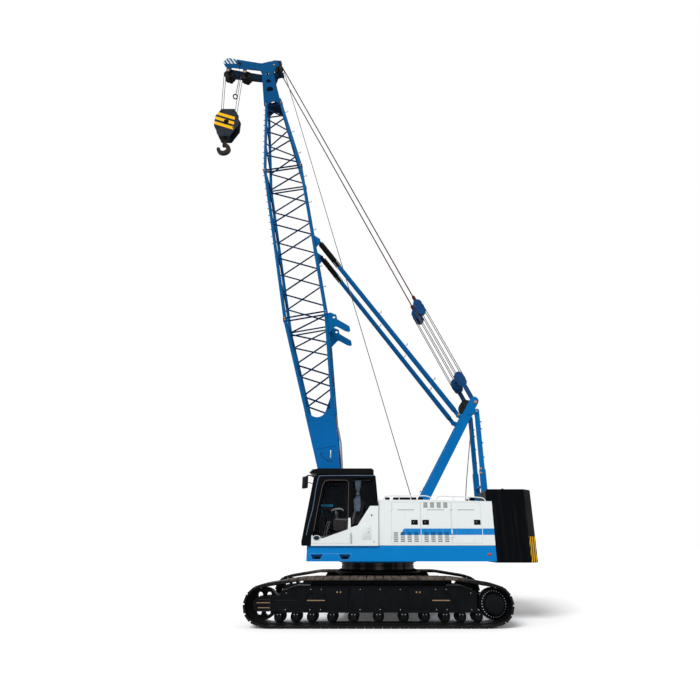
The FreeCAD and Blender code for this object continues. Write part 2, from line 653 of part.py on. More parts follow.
cab_floor = "deck + seat_gap"
cab_side = [("cab_nose - 12", cab_floor, 30), ("cab_nose", "deck + 90", 40), ("cab_brow", "cab_top - 30", 60),
            ("cab_brow - 60", "cab_top", 40), ("cab_back_top", "cab_top", 50),
            ("cab_back_mid", "cab_back_height", 100), ("cab_back_mid", cab_floor)]
cab = new_body("cab_shell")
pad(cab, "XZ", "cab_right", "cab_left", cab_side)
inside = [("cab_nose - 60", "deck + 60", 20), ("cab_brow - 62", "cab_top - 60", 40),
          ("cab_back_top + 50", "cab_top - 50", 40), ("cab_back_mid + 48", "cab_back_height", 80),
          ("cab_back_mid + 48", "deck + 60", 20)]
pocket(cab, "XZ", "cab_right + cab_wall", "cab_left - cab_wall", inside)
door_outline = [("door_back", "door_sill"), ("1690", "door_sill"), ("1698", "1850"),
                ("1478", "door_head"), ("door_back", "door_head")]
pocket(cab, "XZ", "cab_left - cab_wall - 5", "cab_left + 5",
       [("door_back - 4", "door_sill - 4"), ("1694", "door_sill - 4"), ("1703", "1850"),
        ("1482", "door_head + 4"), ("door_back - 4", "door_head + 4")],
       [(650, 2195, 20), (520, 2225, 60), (238, 2690, 60), (75, 2690, 30), (132, 3335, 60), (650, 3335, 30)])
pocket(cab, "XZ", "cab_right - 5", "cab_right + cab_wall + 5",
       [(1560, 2150, 40), (700, 2150, 60), (240, 2690, 60), (75, 2690, 40), (132, 3335, 60), (1420, 3335, 60)])
pocket(cab, "YZ", "cab_brow - 120", "cab_nose + 20",
       [("cab_right + 75", 1930, 50), ("cab_left - 75", 1930, 50), ("cab_left - 75", 3290, 60),
        ("cab_right + 75", 3290, 60)])
pocket(cab, "YZ", "cab_back_mid - 20", "cab_back_top + 60",
       [("cab_right + 120", 2760, 50), ("cab_left - 120", 2760, 50), ("cab_left - 120", 3280, 50),
        ("cab_right + 120", 3280, 50)])
for z in ("cab_hinge_low", "cab_hinge_high"):
    knuckle(cab, "door_back - 2", "cab_left", "1", "-1", z + " + hinge_long + seat_gap", "hinge_long")
node(cab, "cab_shell")

door = new_body("cab_door")
pad(door, "XZ", "cab_left - cab_wall", "cab_left", door_outline)
pocket(door, "XZ", "cab_left - cab_wall - 5", "cab_left + 5",
       [(1640, 1880, 30), (1370, 1880, 60), (765, 2093, 20), (765, 3290, 60), (1425, 3290, 70)])
for z in ("cab_hinge_low", "cab_hinge_high"):
    knuckle(door, "door_back - 2", "cab_left", "1", "1", z, "hinge_long")
node(door, "cab_door")

pane = new_body("cab_door_glass")
pad(pane, "XZ", "cab_left - cab_wall - glass_thick - seat_gap", "cab_left - cab_wall - seat_gap",
    [(1655, 1866, 30), (1368, 1866, 60), (751, 2082, 20), (751, 3304, 60), (1438, 3304, 70)])
node(pane, "cab_door_glass")

glass = new_body("cab_glass")
pad(glass, "XZ", "cab_left - cab_wall - glass_thick - seat_gap", "cab_left - cab_wall - seat_gap",
    [(664, 2180, 20), (510, 2212, 60), (229, 2676, 60), (60, 2676, 30), (120, 3345, 60), (664, 3345, 30)])
pad(glass, "XZ", "cab_right + cab_wall + seat_gap", "cab_right + cab_wall + glass_thick + seat_gap",
    [(1576, 2136, 40), (692, 2136, 60), (229, 2676, 60), (60, 2676, 40), (120, 3345, 60), (1430, 3345, 60)])
node(glass, "cab_glass")

guard = new_body("cab_roof_guard")
pad(guard, "XZ", "cab_right + 20", "cab_left - 20",
    [("guard_back", "guard_low"), ("guard_tip - 160", "guard_low"), ("guard_tip", "guard_low + 40"),
     ("guard_tip - 130", "guard_high - 20"), ("guard_tip - 230", "guard_high"),
     ("guard_back + 60", "guard_high"), ("guard_back", "guard_high - 40")])
for x in ("guard_back + 160", "guard_tip - 420"):
    for y in ("cab_right + 120", "cab_left - 120"):
        pad(guard, "XY", "cab_top + seat_gap", "guard_low + 5", rectangle(x + " - 30", x + " + 30", y + " - 30", y + " + 30"))
node(guard, "cab_roof_guard")

seat = new_body("operator_seat")
mid = "(cab_right + cab_left) / 2"
pad(seat, "XY", "deck + 60 + seat_gap", "deck + 360", rectangle("560", "900", mid + " - 170", mid + " + 170"))
pad(seat, "XZ", mid + " - 250", mid + " + 250",
    [(480, 2060, 30), (1020, 2080, 50), (1030, 2190, 50), (620, 2180, 20), (470, 2820, 60), (350, 2800, 60)])
for side in ("1", "-1"):
    near = mid + " + (%s) * 330 - 70" % side
    pad(seat, "XZ", near, near + " + 140",
        [(560, 2070, 30), (1120, 2070, 30), (1140, 2320, 40), (700, 2300, 30)])
pad(seat, "XY", "2070", "2110", rectangle("600", "800", mid + " - 300", mid + " + 300"))
node(seat, "operator_seat")

mirror_arm = bar("mirror_arm", Vector(1693, 1600, 3250), Vector(1935, 1730, 3290), 14)
mirror_head = box("mirror_head", "1925", "1965", "1690", "1880", "3070", "3370")
node(fused("cab_mirror", [mirror_arm, mirror_head]), "cab_mirror")

# ---------------------------------------------------------------- machinery on the deck

node(box("engine_block", "-2350", "-1050", "-1450", "-760", "deck + sheet_metal + seat_gap", "2560"), "engine_block")

tank = new_body("deck_tank")
pad(tank, "XZ", "-platform_half + 20", "-760",
    [(40, "deck + seat_gap", 0), (1320, "deck + seat_gap", 0), (1320, 2250, 60), (40, 2420, 60)])
node(tank, "deck_tank")

winch = []
for i, (x, z, r) in enumerate(((-1010, 2330, 250), (-1650, 2330, 250), (-2350, 2330, 210))):
    winch.append(pin("drum_%d" % i, str(x), str(z), "-391", "391", str(r)))
    for y in (-385, 360):
        winch.append(pin("drum_cheek_%d_%d" % (i, y), str(x), str(z), str(y), str(y + 25), str(r + 110)))
    for y0, y1 in ((-430, -390), (390, 430)):
        winch.append(box("drum_stand_%d_%d" % (i, y0), str(x - 190), str(x + 190), str(y0), str(y1),
                         "deck + seat_gap", "2420"))
node(fused("hoist_winches", winch), "hoist_winches")

rails = []
for n, (a, b) in enumerate(((-1500, -2650), (-80, -1250))):
    for side in (1500,):
        rails.append(bar("rail_%d" % n, Vector(a, side, 2895), Vector(b, side, 2895), 12))
        for k in range(4):
            x = a + (b - a) * (k + 0.1) / 3.2
            base = amount("house_top") if x > -1457 else amount("house_top") - 36 * (-1457 - x) / 1458
            rails.append(bar("rail_post_%d_%d" % (n, k), Vector(x, side, base + 0.3), Vector(x, side, 2895), 10))
rails += [box("vent_a", "-620", "-240", "900", "1380", "house_top + seat_gap", "2880"),
          box("vent_b", "-1240", "-760", "900", "1380", "house_top + seat_gap", "2870")]
node(fused("roof_rails", rails), "roof_rails")

# ---------------------------------------------------------------- gantry

def strip(label, a, b, wide, y0, y1, bore=None):
    # Straight flat bar in the fore-and-aft plane with round ends.
    along = (b - a).normalize()
    across = Vector(along.z, 0, -along.x) * (wide / 2)
    corners = [a + across, b + across, b - across, a - across]
    body = new_body(label)
    pad(body, "XZ", y0, y1, [(p.x, p.z) for p in corners])
    for end in (a, b):
        pad(body, "XZ", y0, y1, ("circle", end.x, end.z, wide / 2))
    if bore:
        # A running fit for the pin at the first end.
        pocket(body, "XZ", y0 + " - 1", y1 + " + 1", ("circle", a.x, a.z, bore))
    return body


def spot(x, z):
    return Vector(amount(x), 0, amount(z))


gantry = []
rear_links = []
for hand, sign in (("left", "1"), ("right", "-1")):
    y0 = "(%s) * gantry_side - strut_wide / 2" % sign
    y1 = "(%s) * gantry_side + strut_wide / 2" % sign
    gantry.append(strip("strut_" + hand, spot("strut_foot_x", "strut_foot_z"),
                        spot("gantry_top_x", "gantry_top_z"), amount("strut_deep"), y0, y1))
    l0 = "(%s) * gantry_side - link_wide / 2" % sign
    l1 = "(%s) * gantry_side + link_wide / 2" % sign
    for out in ("1", "-1"):
        # Lugs behind the strut for the rear link, in front for the backstop's eye.
        mid = "(%s) * (gantry_side + (%s) * (link_wide / 2 + seat_gap + 10))" % (sign, out)
        gantry.append(strip("link_lug_" + hand, spot("link_top_x", "link_top_z"), spot("link_top_x + 250", "link_top_z - 60"),
                            130, mid + " - 10", mid + " + 10"))
        mid = "(%s) * (gantry_side + (%s) * (stop_eye_thick / 2 + run_gap + 9))" % (sign, out)
        gantry.append(strip("stop_lug_" + hand, spot("stop_foot_x", "stop_foot_z"), spot("stop_foot_x - 230", "stop_foot_z - 110"),
                            130, mid + " - 9", mid + " + 9"))
    gantry.append(pin("stop_pin_" + hand, "stop_foot_x", "stop_foot_z", "(%s) * gantry_side - 62" % sign,
                      "(%s) * gantry_side + 62" % sign, "stop_pin_radius"))
    rear_links.append(strip("link_low_" + hand, spot("link_foot_x", "link_foot_z"),
                            spot("(link_foot_x + link_top_x) / 2", "link_joint_z"), 170, l0, l1))
    rear_links.append(strip("link_high_" + hand, spot("(link_foot_x + link_top_x) / 2", "link_joint_z"),
                            spot("link_top_x", "link_top_z"), 130, l0, l1))
for sign in ("1", "-1"):
    stub = sorted(("(%s) * (block_side + 50)" % sign, "(%s) * gantry_side" % sign), key=amount)
    gantry.append(pin("stay_pivot", "stay_pin_x", "stay_pin_z", stub[0], stub[1], "stay_pin_radius"))
gantry.append(pin("gantry_cross", "gantry_top_x + 330", "gantry_top_z - 560", "-gantry_side", "gantry_side", "60"))
gantry.append(pin("gantry_cross_low", "-1500", "3260", "-gantry_side", "gantry_side", "60"))
node(fused("gantry_struts", gantry), "gantry_struts")
rear_links.append(pin("link_cross", "(link_foot_x + link_top_x) / 2", "link_joint_z - 400", "-gantry_side", "gantry_side", "40"))
node(fused("gantry_rear_links", rear_links), "gantry_rear_links")

sheaves = [pin("gantry_axle", "-2750", "5660", "-gantry_side + strut_wide / 2 + seat_gap",
               "gantry_side - strut_wide / 2 - seat_gap", "55")]
for k in range(3):
    y = (k - 1) * 130
    sheaves.append(pin("gantry_sheave_%d" % k, "-2750", "5660", str(y - 23), str(y + 23), "gantry_sheave_radius"))
node(fused("gantry_sheaves", sheaves), "gantry_sheaves")

# ---------------------------------------------------------------- boom

angle = math.radians(amount("boom_angle"))
boom_up = Vector(math.cos(angle), 0, math.sin(angle))
boom_front = Vector(math.sin(angle), 0, -math.cos(angle))
boom_foot = Vector(amount("foot_x"), 0, amount("foot_z"))
boom_place = Placement(boom_foot, Rotation(Vector(0, 1, 0), -amount("boom_angle")))


def on_boom(along, side, across):
    return boom_foot + boom_up * along + boom_front * across + Vector(0, side, 0)


def boom_body(label):
    body = new_body(label)
    body.Placement = boom_place
    body.setExpression("Placement.Base.x", "Sizes.foot_x")
    body.setExpression("Placement.Base.z", "Sizes.foot_z")
    return body


def chord_at(along):
    # Half depth and half width between chord centres at a distance from the foot.
    deep, wide = amount("chord_depth"), amount("chord_side")
    base_end, middle_end, top_end = amount("base_end"), amount("middle_end"), amount("top_end")
    if along < base_end:
        start, first = amount("chord_slope_start"), amount("chord_slope_depth")
        return first + (deep - first) * (along - start) / (base_end - start), wide
    if along <= middle_end:
        return deep, wide
    share = (along - middle_end) / (top_end - middle_end)
    return deep + (amount("tip_chord_depth") - deep) * share, wide + (amount("tip_chord_side") - wide) * share


def lattice(label, start, end, stations, extra=()):
    # Four chords with zigzag lacings on all four faces between the stations.
    pieces = []
    for side in (1, -1):
        for across in (1, -1):
            d0, w0 = chord_at(start)
            d1, w1 = chord_at(end)
            pieces.append(bar("%s_chord" % label, on_boom(start + 30, side * w0, across * d0),
                              on_boom(end - 30, side * w1, across * d1), "chord_radius"))
            for a, b in ((start, start + 70), (end - 70, end)):
                # Square joint end that meets its neighbour.
                if a < base_end - 200 and a == start:
                    continue
                d, w = chord_at(start if a == start else end)
                pieces.append(bar("%s_joint_end" % label, on_boom(a, side * w, across * d),
                                  on_boom(b, side * w, across * d), "joint_radius"))
    for side in (1, -1):
        for i in range(len(stations) - 1):
            a, b = stations[i], stations[i + 1]
            da, wa = chord_at(a)
            db, wb = chord_at(b)
            across = -1 if i % 2 == 0 else 1
            pieces.append(lacing("%s_side_lacing" % label, on_boom(a, side * wa, across * da),
                                 on_boom(b, side * wb, -across * db), "lace_radius"))
    for across in (1, -1):
        for i in range(len(stations) - 1):
            a, b = stations[i], stations[i + 1]
            da, wa = chord_at(a)
            db, wb = chord_at(b)
            side = (1 if i % 2 == 0 else -1) * across
            pieces.append(lacing("%s_face_lacing" % label, on_boom(a, side * wa, across * da),
                                 on_boom(b, -side * wb, across * db), "lace_radius"))
    for along in (start + 60, end - 60):
        d, w = chord_at(along)
        for across in (1, -1):
            pieces.append(lacing("%s_cross_tube" % label, on_boom(along, -w, across * d),
                                 on_boom(along, w, across * d), "lace_radius"))
        for side in (1, -1):
            pieces.append(lacing("%s_frame_tube" % label, on_boom(along, side * w, -d),
                                 on_boom(along, side * w, d), "lace_radius"))
    return pieces + list(extra)


gap = amount("seat_gap")
base_end, middle_end, top_end = amount("base_end"), amount("middle_end"), amount("top_end")

plates = []
for hand, sign in (("left", "1"), ("right", "-1")):
    plate = boom_body("base_plate_" + hand)
    free = amount("base_free_chord")
    d_free, _ = chord_at(free)
    d_rear, _ = chord_at(free + 350)
    d_low, _ = chord_at(amount("chord_slope_start"))
    r = amount("chord_radius")
    foot = amount("foot_half_depth")
    pad(plate, "XZ", "(%s) * chord_side - base_plate_thick / 2" % sign,
        "(%s) * chord_side + base_plate_thick / 2" % sign,
        [(-foot, foot * 0.98, foot * 0.9), (-foot, -foot * 0.98, foot * 0.9),
         (amount("chord_slope_start"), -(d_low + r)),
         (free, -(d_free + r)), (free, -(d_free - r)), (amount("base_plate_end"), 0, 260),
         (free + 350, d_rear - r), (free + 350, d_rear + r),
         (amount("chord_slope_start"), d_low + r)],
        ("circle", "0", "0", "foot_pin_radius + pin_play"))
    plates.append(plate)
stations = [3500, 4000, 4500, 5050, 5600, 6120, 6560]
base = lattice("base", amount("base_free_chord") - 250, base_end - gap, stations)
for along in (1500, 2300):
    d, w = chord_at(max(along, 1770))
    for across in (1, -1):
        base.append(bar("base_tie", on_boom(along, -w, across * d * 0.8), on_boom(along, w, across * d * 0.8), "40"))
# Rear brackets below the lower boom joint.
brackets = []
for hand, sign in (("left", "1"), ("right", "-1")):
    lug = boom_body("rear_bracket_" + hand)
    pad(lug, "XZ", "(%s) * chord_side - 20" % sign, "(%s) * chord_side + 20" % sign,
        [(5900, 620, 0), (6600, 680, 0), (6620, 800, 20), (6500, 985, 60), (6340, 985, 50), (6020, 1330, 50),
         (5820, 1330, 50), (5880, 1180, 30), (6120, 900, 60)],
        ("circle", "6429", "892", "42"))
    brackets.append(lug)
node(fused("boom_base_section", plates + base + brackets), "boom_base_section")

count = 8
stations = [base_end + 260 + i * (middle_end - base_end - 520) / count for i in range(count + 1)]
stop_lugs = []
for sign in ("1", "-1"):
    inner = "(%s) * (gantry_side + stop_eye_thick / 2 + seat_gap + 11)" % sign
    lug = boom_body("stop_lug")
    pad(lug, "XZ", inner + " - 11", inner + " + 11",
        [("stop_eye_along - 330", "chord_depth - 20"), ("stop_eye_along + 330", "chord_depth - 20"),
         ("stop_eye_along + 60", "-stop_eye_across + 65", 50), ("stop_eye_along - 60", "-stop_eye_across + 65", 50)])
    stop_lugs.append(lug)
node(fused("boom_middle_section", lattice("middle", base_end, middle_end - gap, stations, stop_lugs)),
     "boom_middle_section")

count = 5
stations = [middle_end + 200 + i * (top_end - middle_end - 400) / count for i in range(count + 1)]
node(fused("boom_top_section", lattice("top", middle_end, top_end - gap, stations)), "boom_top_section")

head_parts = []
for hand, sign in (("left", "1"), ("right", "-1")):
    plate = boom_body("head_plate_" + hand)
    # Side plate in boom coordinates: first along the boom, then towards its back.
    pad(plate, "XZ", "(%s) * head_side - head_plate / 2" % sign, "(%s) * head_side + head_plate / 2" % sign,
        [(16450, 300, 0), (16450, 215, 0), (16700, 0, 170), (16450, -250, 0), (16450, -390, 0),
         (18250, -290, 120), (18460, -330, 60), (18960, -1740, 40), (19265, -1833, 60), (19486, -1607, 60),
         (19280, -1168, 90), (18880, -250, 200), (18960, 330, 40), (18880, 600, 60), (18620, 600, 60),
         (18560, 330, 60), (18200, 190, 120)],
        ("circle", "18225", "-66", "70"), ("circle", "17788", "-68", "105"), ("circle", "17317", "-60", "140"))
    head_parts.append(plate)
for sign in (1, -1):
    y = sign * amount("head_side")
    for low, high in (((18723, 1661), (18990, 1600)), ((18509, 969), (18800, 960))):
        a, b = on_boom(low[0], 0, low[1]), on_boom(high[0], 0, high[1])
        head_parts.append(strip("sheave_hanger", Vector(a.x, 0, a.z), Vector(b.x, 0, b.z), 150, str(y - 16), str(y + 16)))
for along, across, radius in ((16520, 330, 40), (16520, -250, 40), (18820, 100, 45), (19330, 1600, 32)):
    head_parts.append(bar("head_tie", on_boom(along, -amount("head_side"), across),
                          on_boom(along, amount("head_side"), across), str(radius)))
for side in (1, -1):
    for across in (1, -1):
        d, w = chord_at(top_end)
        head_parts.append(bar("head_joint_end", on_boom(top_end, side * w, across * d),
                              on_boom(top_end + 70, side * w, across * d), "joint_radius"))
        head_parts.append(bar("head_socket", on_boom(top_end + 30, side * w, across * d),
                              on_boom(top_end + 250, side * (w + 5), across * (d - 25)), "chord_radius"))
node(fused("boom_head", head_parts), "boom_head")


def sheave(label, x, z, y, radius):
    # Grooved rope sheave turned about an axis across the machine.
    body = new_body(label)
    r = amount(radius)
    half = amount("sheave_width / 2")
    turned(body, "XY", "Y",
           [(20, -half), (r, -half), (r - 26, -15), (r - 26, 15), (r, half), (20, half)])
    body.Placement = Placement(Vector(amount(x), y, amount(z)), Rotation())
    return body


pulleys = []
for x, z in (("head_sheave_x", "head_sheave_z"), ("second_sheave_x", "second_sheave_z")):
    pulleys.append(pin("head_axle", x, z, "-head_side + head_plate / 2 + seat_gap",
                       "head_side - head_plate / 2 - seat_gap", "31"))
    for y in (-110, 110):
        pulleys.append(sheave("head_sheave", x, z, y, "head_sheave_radius"))
rear_sheave = on_boom(18750, 0, -420)
pulleys.append(pin("guide_axle", str(rear_sheave.x), str(rear_sheave.z), "-head_side + head_plate / 2 + seat_gap",
                   "head_side - head_plate / 2 - seat_gap", "31"))
pulleys.append(sheave("guide_sheave", str(rear_sheave.x), str(rear_sheave.z), 0, "head_sheave_radius - 20"))
node(fused("head_sheaves", pulleys), "head_sheaves")

# ---------------------------------------------------------------- backstops

stop_foot = spot("stop_foot_x", "stop_foot_z")
stop_eye = on_boom(amount("stop_eye_along"), 0, amount("stop_eye_across"))
stop_way = (stop_eye - stop_foot).normalize()
stop_length = (stop_eye - stop_foot).Length


def on_stop(distance, side):
    return stop_foot + stop_way * distance + Vector(0, side, 0)


tubes, rods = [], []
for side in (1, -1):
    y = side * amount("gantry_side")
    outer = bar("stop_tube", on_stop(180, y), on_stop(amount("stop_tube_end"), y), "stop_tube_radius")
    bore = bar("stop_bore", on_stop(400, y), on_stop(amount("stop_tube_end") + 10, y), "stop_bore_radius")
    tubes.append(cut_from("stop_barrel", outer, bore))
    low, high = y - amount("stop_eye_thick / 2"), y + amount("stop_eye_thick / 2")
    tubes.append(strip("stop_foot_eye", on_stop(0, 0), on_stop(240, 0), 120, str(low), str(high),
                       "stop_pin_radius + pin_play"))
    rods.append(strip("stop_head_eye", on_stop(stop_length, 0), on_stop(stop_length - 220, 0), 100, str(low), str(high)))
    rods.append(bar("stop_rod", on_stop(amount("stop_rod_start"), y), on_stop(stop_length - 180, y), "stop_rod_radius"))
    rods.append(bar("stop_spring", on_stop(amount("stop_spring_start"), y), on_stop(stop_length - 170, y),
                    "stop_spring_radius"))
node(fused("backstop_tubes", tubes), "backstop_tubes")
node(fused("backstop_rods", rods), "backstop_rods")

# ---------------------------------------------------------------- stays

stay_pin = spot("stay_pin_x", "stay_pin_z")
stay_eye = on_boom(amount("stay_eye_along"), 0, amount("stay_eye_across"))
stay_way = (stay_eye - stay_pin).normalize()
stay_length = (stay_eye - stay_pin).Length


def on_stay(distance, side):
    return stay_pin + stay_way * distance + Vector(0, side, 0)




def block(label, centre, reach, links):
    # Rope block on the stay's line: axle, four cheeks and four grooved sheaves.
    at = on_stay(centre, 0)
    parts = [pin(label + "_axle", str(at.x), str(at.z), "-block_side - 70", "block_side + 70", "40")]
    for side in (1, -1):
        for y in (-50, 50):
            low = side * (amount("block_side") + y) - 11
            parts.append(strip(label + "_cheek", on_stay(centre - reach, 0), on_stay(centre + reach, 0),
                               amount("block_half"), str(low), str(low + 22)))
        for y in (amount("block_side"), 190):
            parts.append(sheave(label + "_sheave", str(at.x), str(at.z), side * y, "block_sheave_size"))
    return parts + links


links = []
for side in (1, -1):
    low = side * amount("block_side + 72") - 11
    links.append(strip("lower_link", on_stay(0, 0), on_stay(amount("lower_block"), 0), 140, str(low), str(low + 22),
                       "stay_pin_radius + pin_play"))
node(fused("stay_lower_block", block("lower", amount("lower_block"), 110, links)), "stay_lower_block")
node(fused("stay_upper_block", block("upper", amount("upper_block"), 150, [])), "stay_upper_block")

ropes = []
for side in (1, -1):
    for y in (amount("block_side"), 190):
        for out in (1, -1):
            shift = Vector(stay_way.z, 0, -stay_way.x) * (out * (amount("block_sheave_size - 26 + rope_radius + seat_gap")))
            ropes.append(bar("luffing_rope", on_stay(amount("lower_block"), side * y) + shift,
                             on_stay(amount("upper_block"), side * y) + shift, "rope_radius"))
node(fused("luffing_ropes", ropes), "luffing_ropes")

pendants = []
for side in (1, -1):
    y = side * amount("pendant_side")
    pendants.append(bar("pendant", on_stay(amount("pendant_start"), y), on_stay(stay_length - 160, y), "pendant_radius"))
    low = side * amount("head_side + head_plate / 2 + seat_gap + 15") - 15
    pendants.append(strip("pendant_eye", on_stay(stay_length, 0), on_stay(stay_length - 200, 0), 90, str(low), str(low + 30)))
    low = y - 25 + side * (amount("block_side") - 50 + 11 + 25 + 0.6 - amount("pendant_side"))
    pendants.append(strip("pendant_socket", on_stay(amount("upper_block") + 250, 0), on_stay(amount("pendant_start") + 60, 0),
                          100, str(low), str(low + 50)))
node(fused("stay_pendants", pendants), "stay_pendants")

# ---------------------------------------------------------------- hook

hook_parts = [pin("block_axle", "hook_x", "block_sheave_z", "-170", "170", "60")]
for y in (-110, 110):
    hook_parts.append(sheave("block_sheave", "hook_x", "block_sheave_z", y, "block_sheave_radius"))
for y0, y1 in (("-190", "-150"), ("150", "190")):
    cheek = new_body("block_cheek")
    pad(cheek, "XZ", y0, y1,
        [("hook_x - 200", "block_low", 60), ("hook_x + 200", "block_low", 60),
         ("hook_x + block_half_x", "block_sheave_z - 200", 120), ("hook_x + block_half_x", "block_sheave_z + 300", 120),
         ("hook_x + 260", "block_top", 60), ("hook_x - 260", "block_top", 60),
         ("hook_x - block_half_x", "block_sheave_z + 300", 120), ("hook_x - block_half_x", "block_sheave_z - 200", 120)])
    hook_parts.append(cheek)
hook_parts.append(box("block_trunnion", "hook_x - 150", "hook_x + 150", "-190", "190", "block_low + 20", "block_low + 200"))
node(fused("hook_block", hook_parts), "hook_block")

hook = new_body("hook")
pad(hook, "XZ", "-hook_half", "hook_half", ("circle", "hook_x", "hook_low + hook_radius", "hook_radius"),
    ("circle", "hook_x + 18", "hook_low + hook_radius + 22", "hook_throat"))
pocket(hook, "XZ", "-hook_half - 1", "hook_half + 1",
       [("hook_x + 62", "hook_low + hook_radius + 40"), ("hook_x + hook_radius + 40", "hook_low + hook_radius + 70"),
        ("hook_x + hook_radius + 40", "hook_low + 2 * hook_radius + 40"),
        ("hook_x + 62", "hook_low + 2 * hook_radius + 40")])
pad(hook, "XZ", "-hook_half", "hook_half",
    rectangle("hook_x - 62", "hook_x + 62", "hook_low + hook_radius + hook_throat + 30", "block_low + 20 - seat_gap"))
node(hook, "hook")

falls = []
for y in (-110, 110):
    for top, low in (("head_sheave_x + head_sheave_radius - 25 + rope_radius + seat_gap", 1),
                     ("second_sheave_x + head_sheave_radius - 25 + rope_radius + seat_gap", -1)):
        x = amount(top)
        end = amount("hook_x") + low * (amount("block_sheave_radius - 25 + rope_radius + seat_gap"))
        falls.append(bar("fall", Vector(end, y, amount("block_sheave_z")), Vector(x, y, amount("head_sheave_z")), "rope_radius"))
node(fused("hook_falls", falls), "hook_falls")

# ---------------------------------------------------------------- check and write

doc.recompute()
for thing in doc.Objects:
    if "Invalid" in thing.State or "Error" in thing.State:
        raise RuntimeError("not built: %s %s" % (thing.Label, thing.State))
    if thing.TypeId == "PartDesign::Pocket" and thing.Shape.Volume >= thing.BaseFeature.Shape.Volume - 1:
        raise RuntimeError("pocket cuts nothing: " + thing.Label)
for thing in nodes:
    shape = thing.Shape
    if shape.isNull() or not shape.isValid() or not shape.Solids:
        raise RuntimeError("bad shape: " + thing.Label)
for thing in nodes:
    thing.Shape.exportStep("parts/%s.step" % thing.Label)
    box_of = thing.Shape.BoundBox
    print("%-22s solids %3d  x %8.1f %8.1f  y %8.1f %8.1f  z %8.1f %8.1f" % (
        thing.Label, len(thing.Shape.Solids), box_of.XMin, box_of.XMax, box_of.YMin, box_of.YMax,
        box_of.ZMin, box_of.ZMax))
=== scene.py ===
import bpy
import bmesh
from math import cos, pi, radians, sin
from mathutils import Matrix, Vector


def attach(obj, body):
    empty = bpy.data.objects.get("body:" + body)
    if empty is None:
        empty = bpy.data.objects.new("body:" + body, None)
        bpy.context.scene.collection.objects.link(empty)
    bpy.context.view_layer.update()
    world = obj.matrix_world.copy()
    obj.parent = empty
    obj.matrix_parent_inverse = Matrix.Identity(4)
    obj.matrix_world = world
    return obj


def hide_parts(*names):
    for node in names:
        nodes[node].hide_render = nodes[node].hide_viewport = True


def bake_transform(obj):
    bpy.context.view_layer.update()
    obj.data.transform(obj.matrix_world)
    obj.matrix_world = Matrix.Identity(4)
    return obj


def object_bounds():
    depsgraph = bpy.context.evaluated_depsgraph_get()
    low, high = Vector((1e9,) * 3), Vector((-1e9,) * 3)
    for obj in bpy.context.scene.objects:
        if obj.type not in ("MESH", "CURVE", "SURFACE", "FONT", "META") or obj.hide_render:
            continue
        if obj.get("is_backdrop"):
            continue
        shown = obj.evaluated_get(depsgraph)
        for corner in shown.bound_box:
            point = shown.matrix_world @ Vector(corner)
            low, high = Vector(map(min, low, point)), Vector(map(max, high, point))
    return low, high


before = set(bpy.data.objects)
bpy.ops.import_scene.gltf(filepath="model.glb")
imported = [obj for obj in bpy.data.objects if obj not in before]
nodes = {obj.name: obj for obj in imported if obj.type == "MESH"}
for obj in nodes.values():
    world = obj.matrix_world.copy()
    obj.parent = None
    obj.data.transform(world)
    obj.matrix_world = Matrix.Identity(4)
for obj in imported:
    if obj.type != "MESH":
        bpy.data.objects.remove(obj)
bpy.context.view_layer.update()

print("frame loaded:", len(nodes), "nodes")


# Shader maths: one class holds a socket, and arithmetic on it adds Math nodes.

def maths(operation, reflected=False):
    def work(self, other=0.0):
        first, second = (other, self) if reflected else (self, other)
        return self.coat.node("Math", {"operation": operation}, {0: first, 1: second})
    return work


class Wire:
    def __init__(self, coat, socket):
        self.coat, self.socket = coat, socket

    __add__, __radd__ = maths("ADD"), maths("ADD", True)
    __sub__, __rsub__ = maths("SUBTRACT"), maths("SUBTRACT", True)
    __mul__, __rmul__ = maths("MULTIPLY"), maths("MULTIPLY", True)
    __truediv__, __rtruediv__ = maths("DIVIDE"), maths("DIVIDE", True)
    __gt__, __lt__, __abs__ = maths("GREATER_THAN"), maths("LESS_THAN"), maths("ABSOLUTE")
    part, sine, most, least = maths("FRACT"), maths("SINE"), maths("MAXIMUM"), maths("MINIMUM")


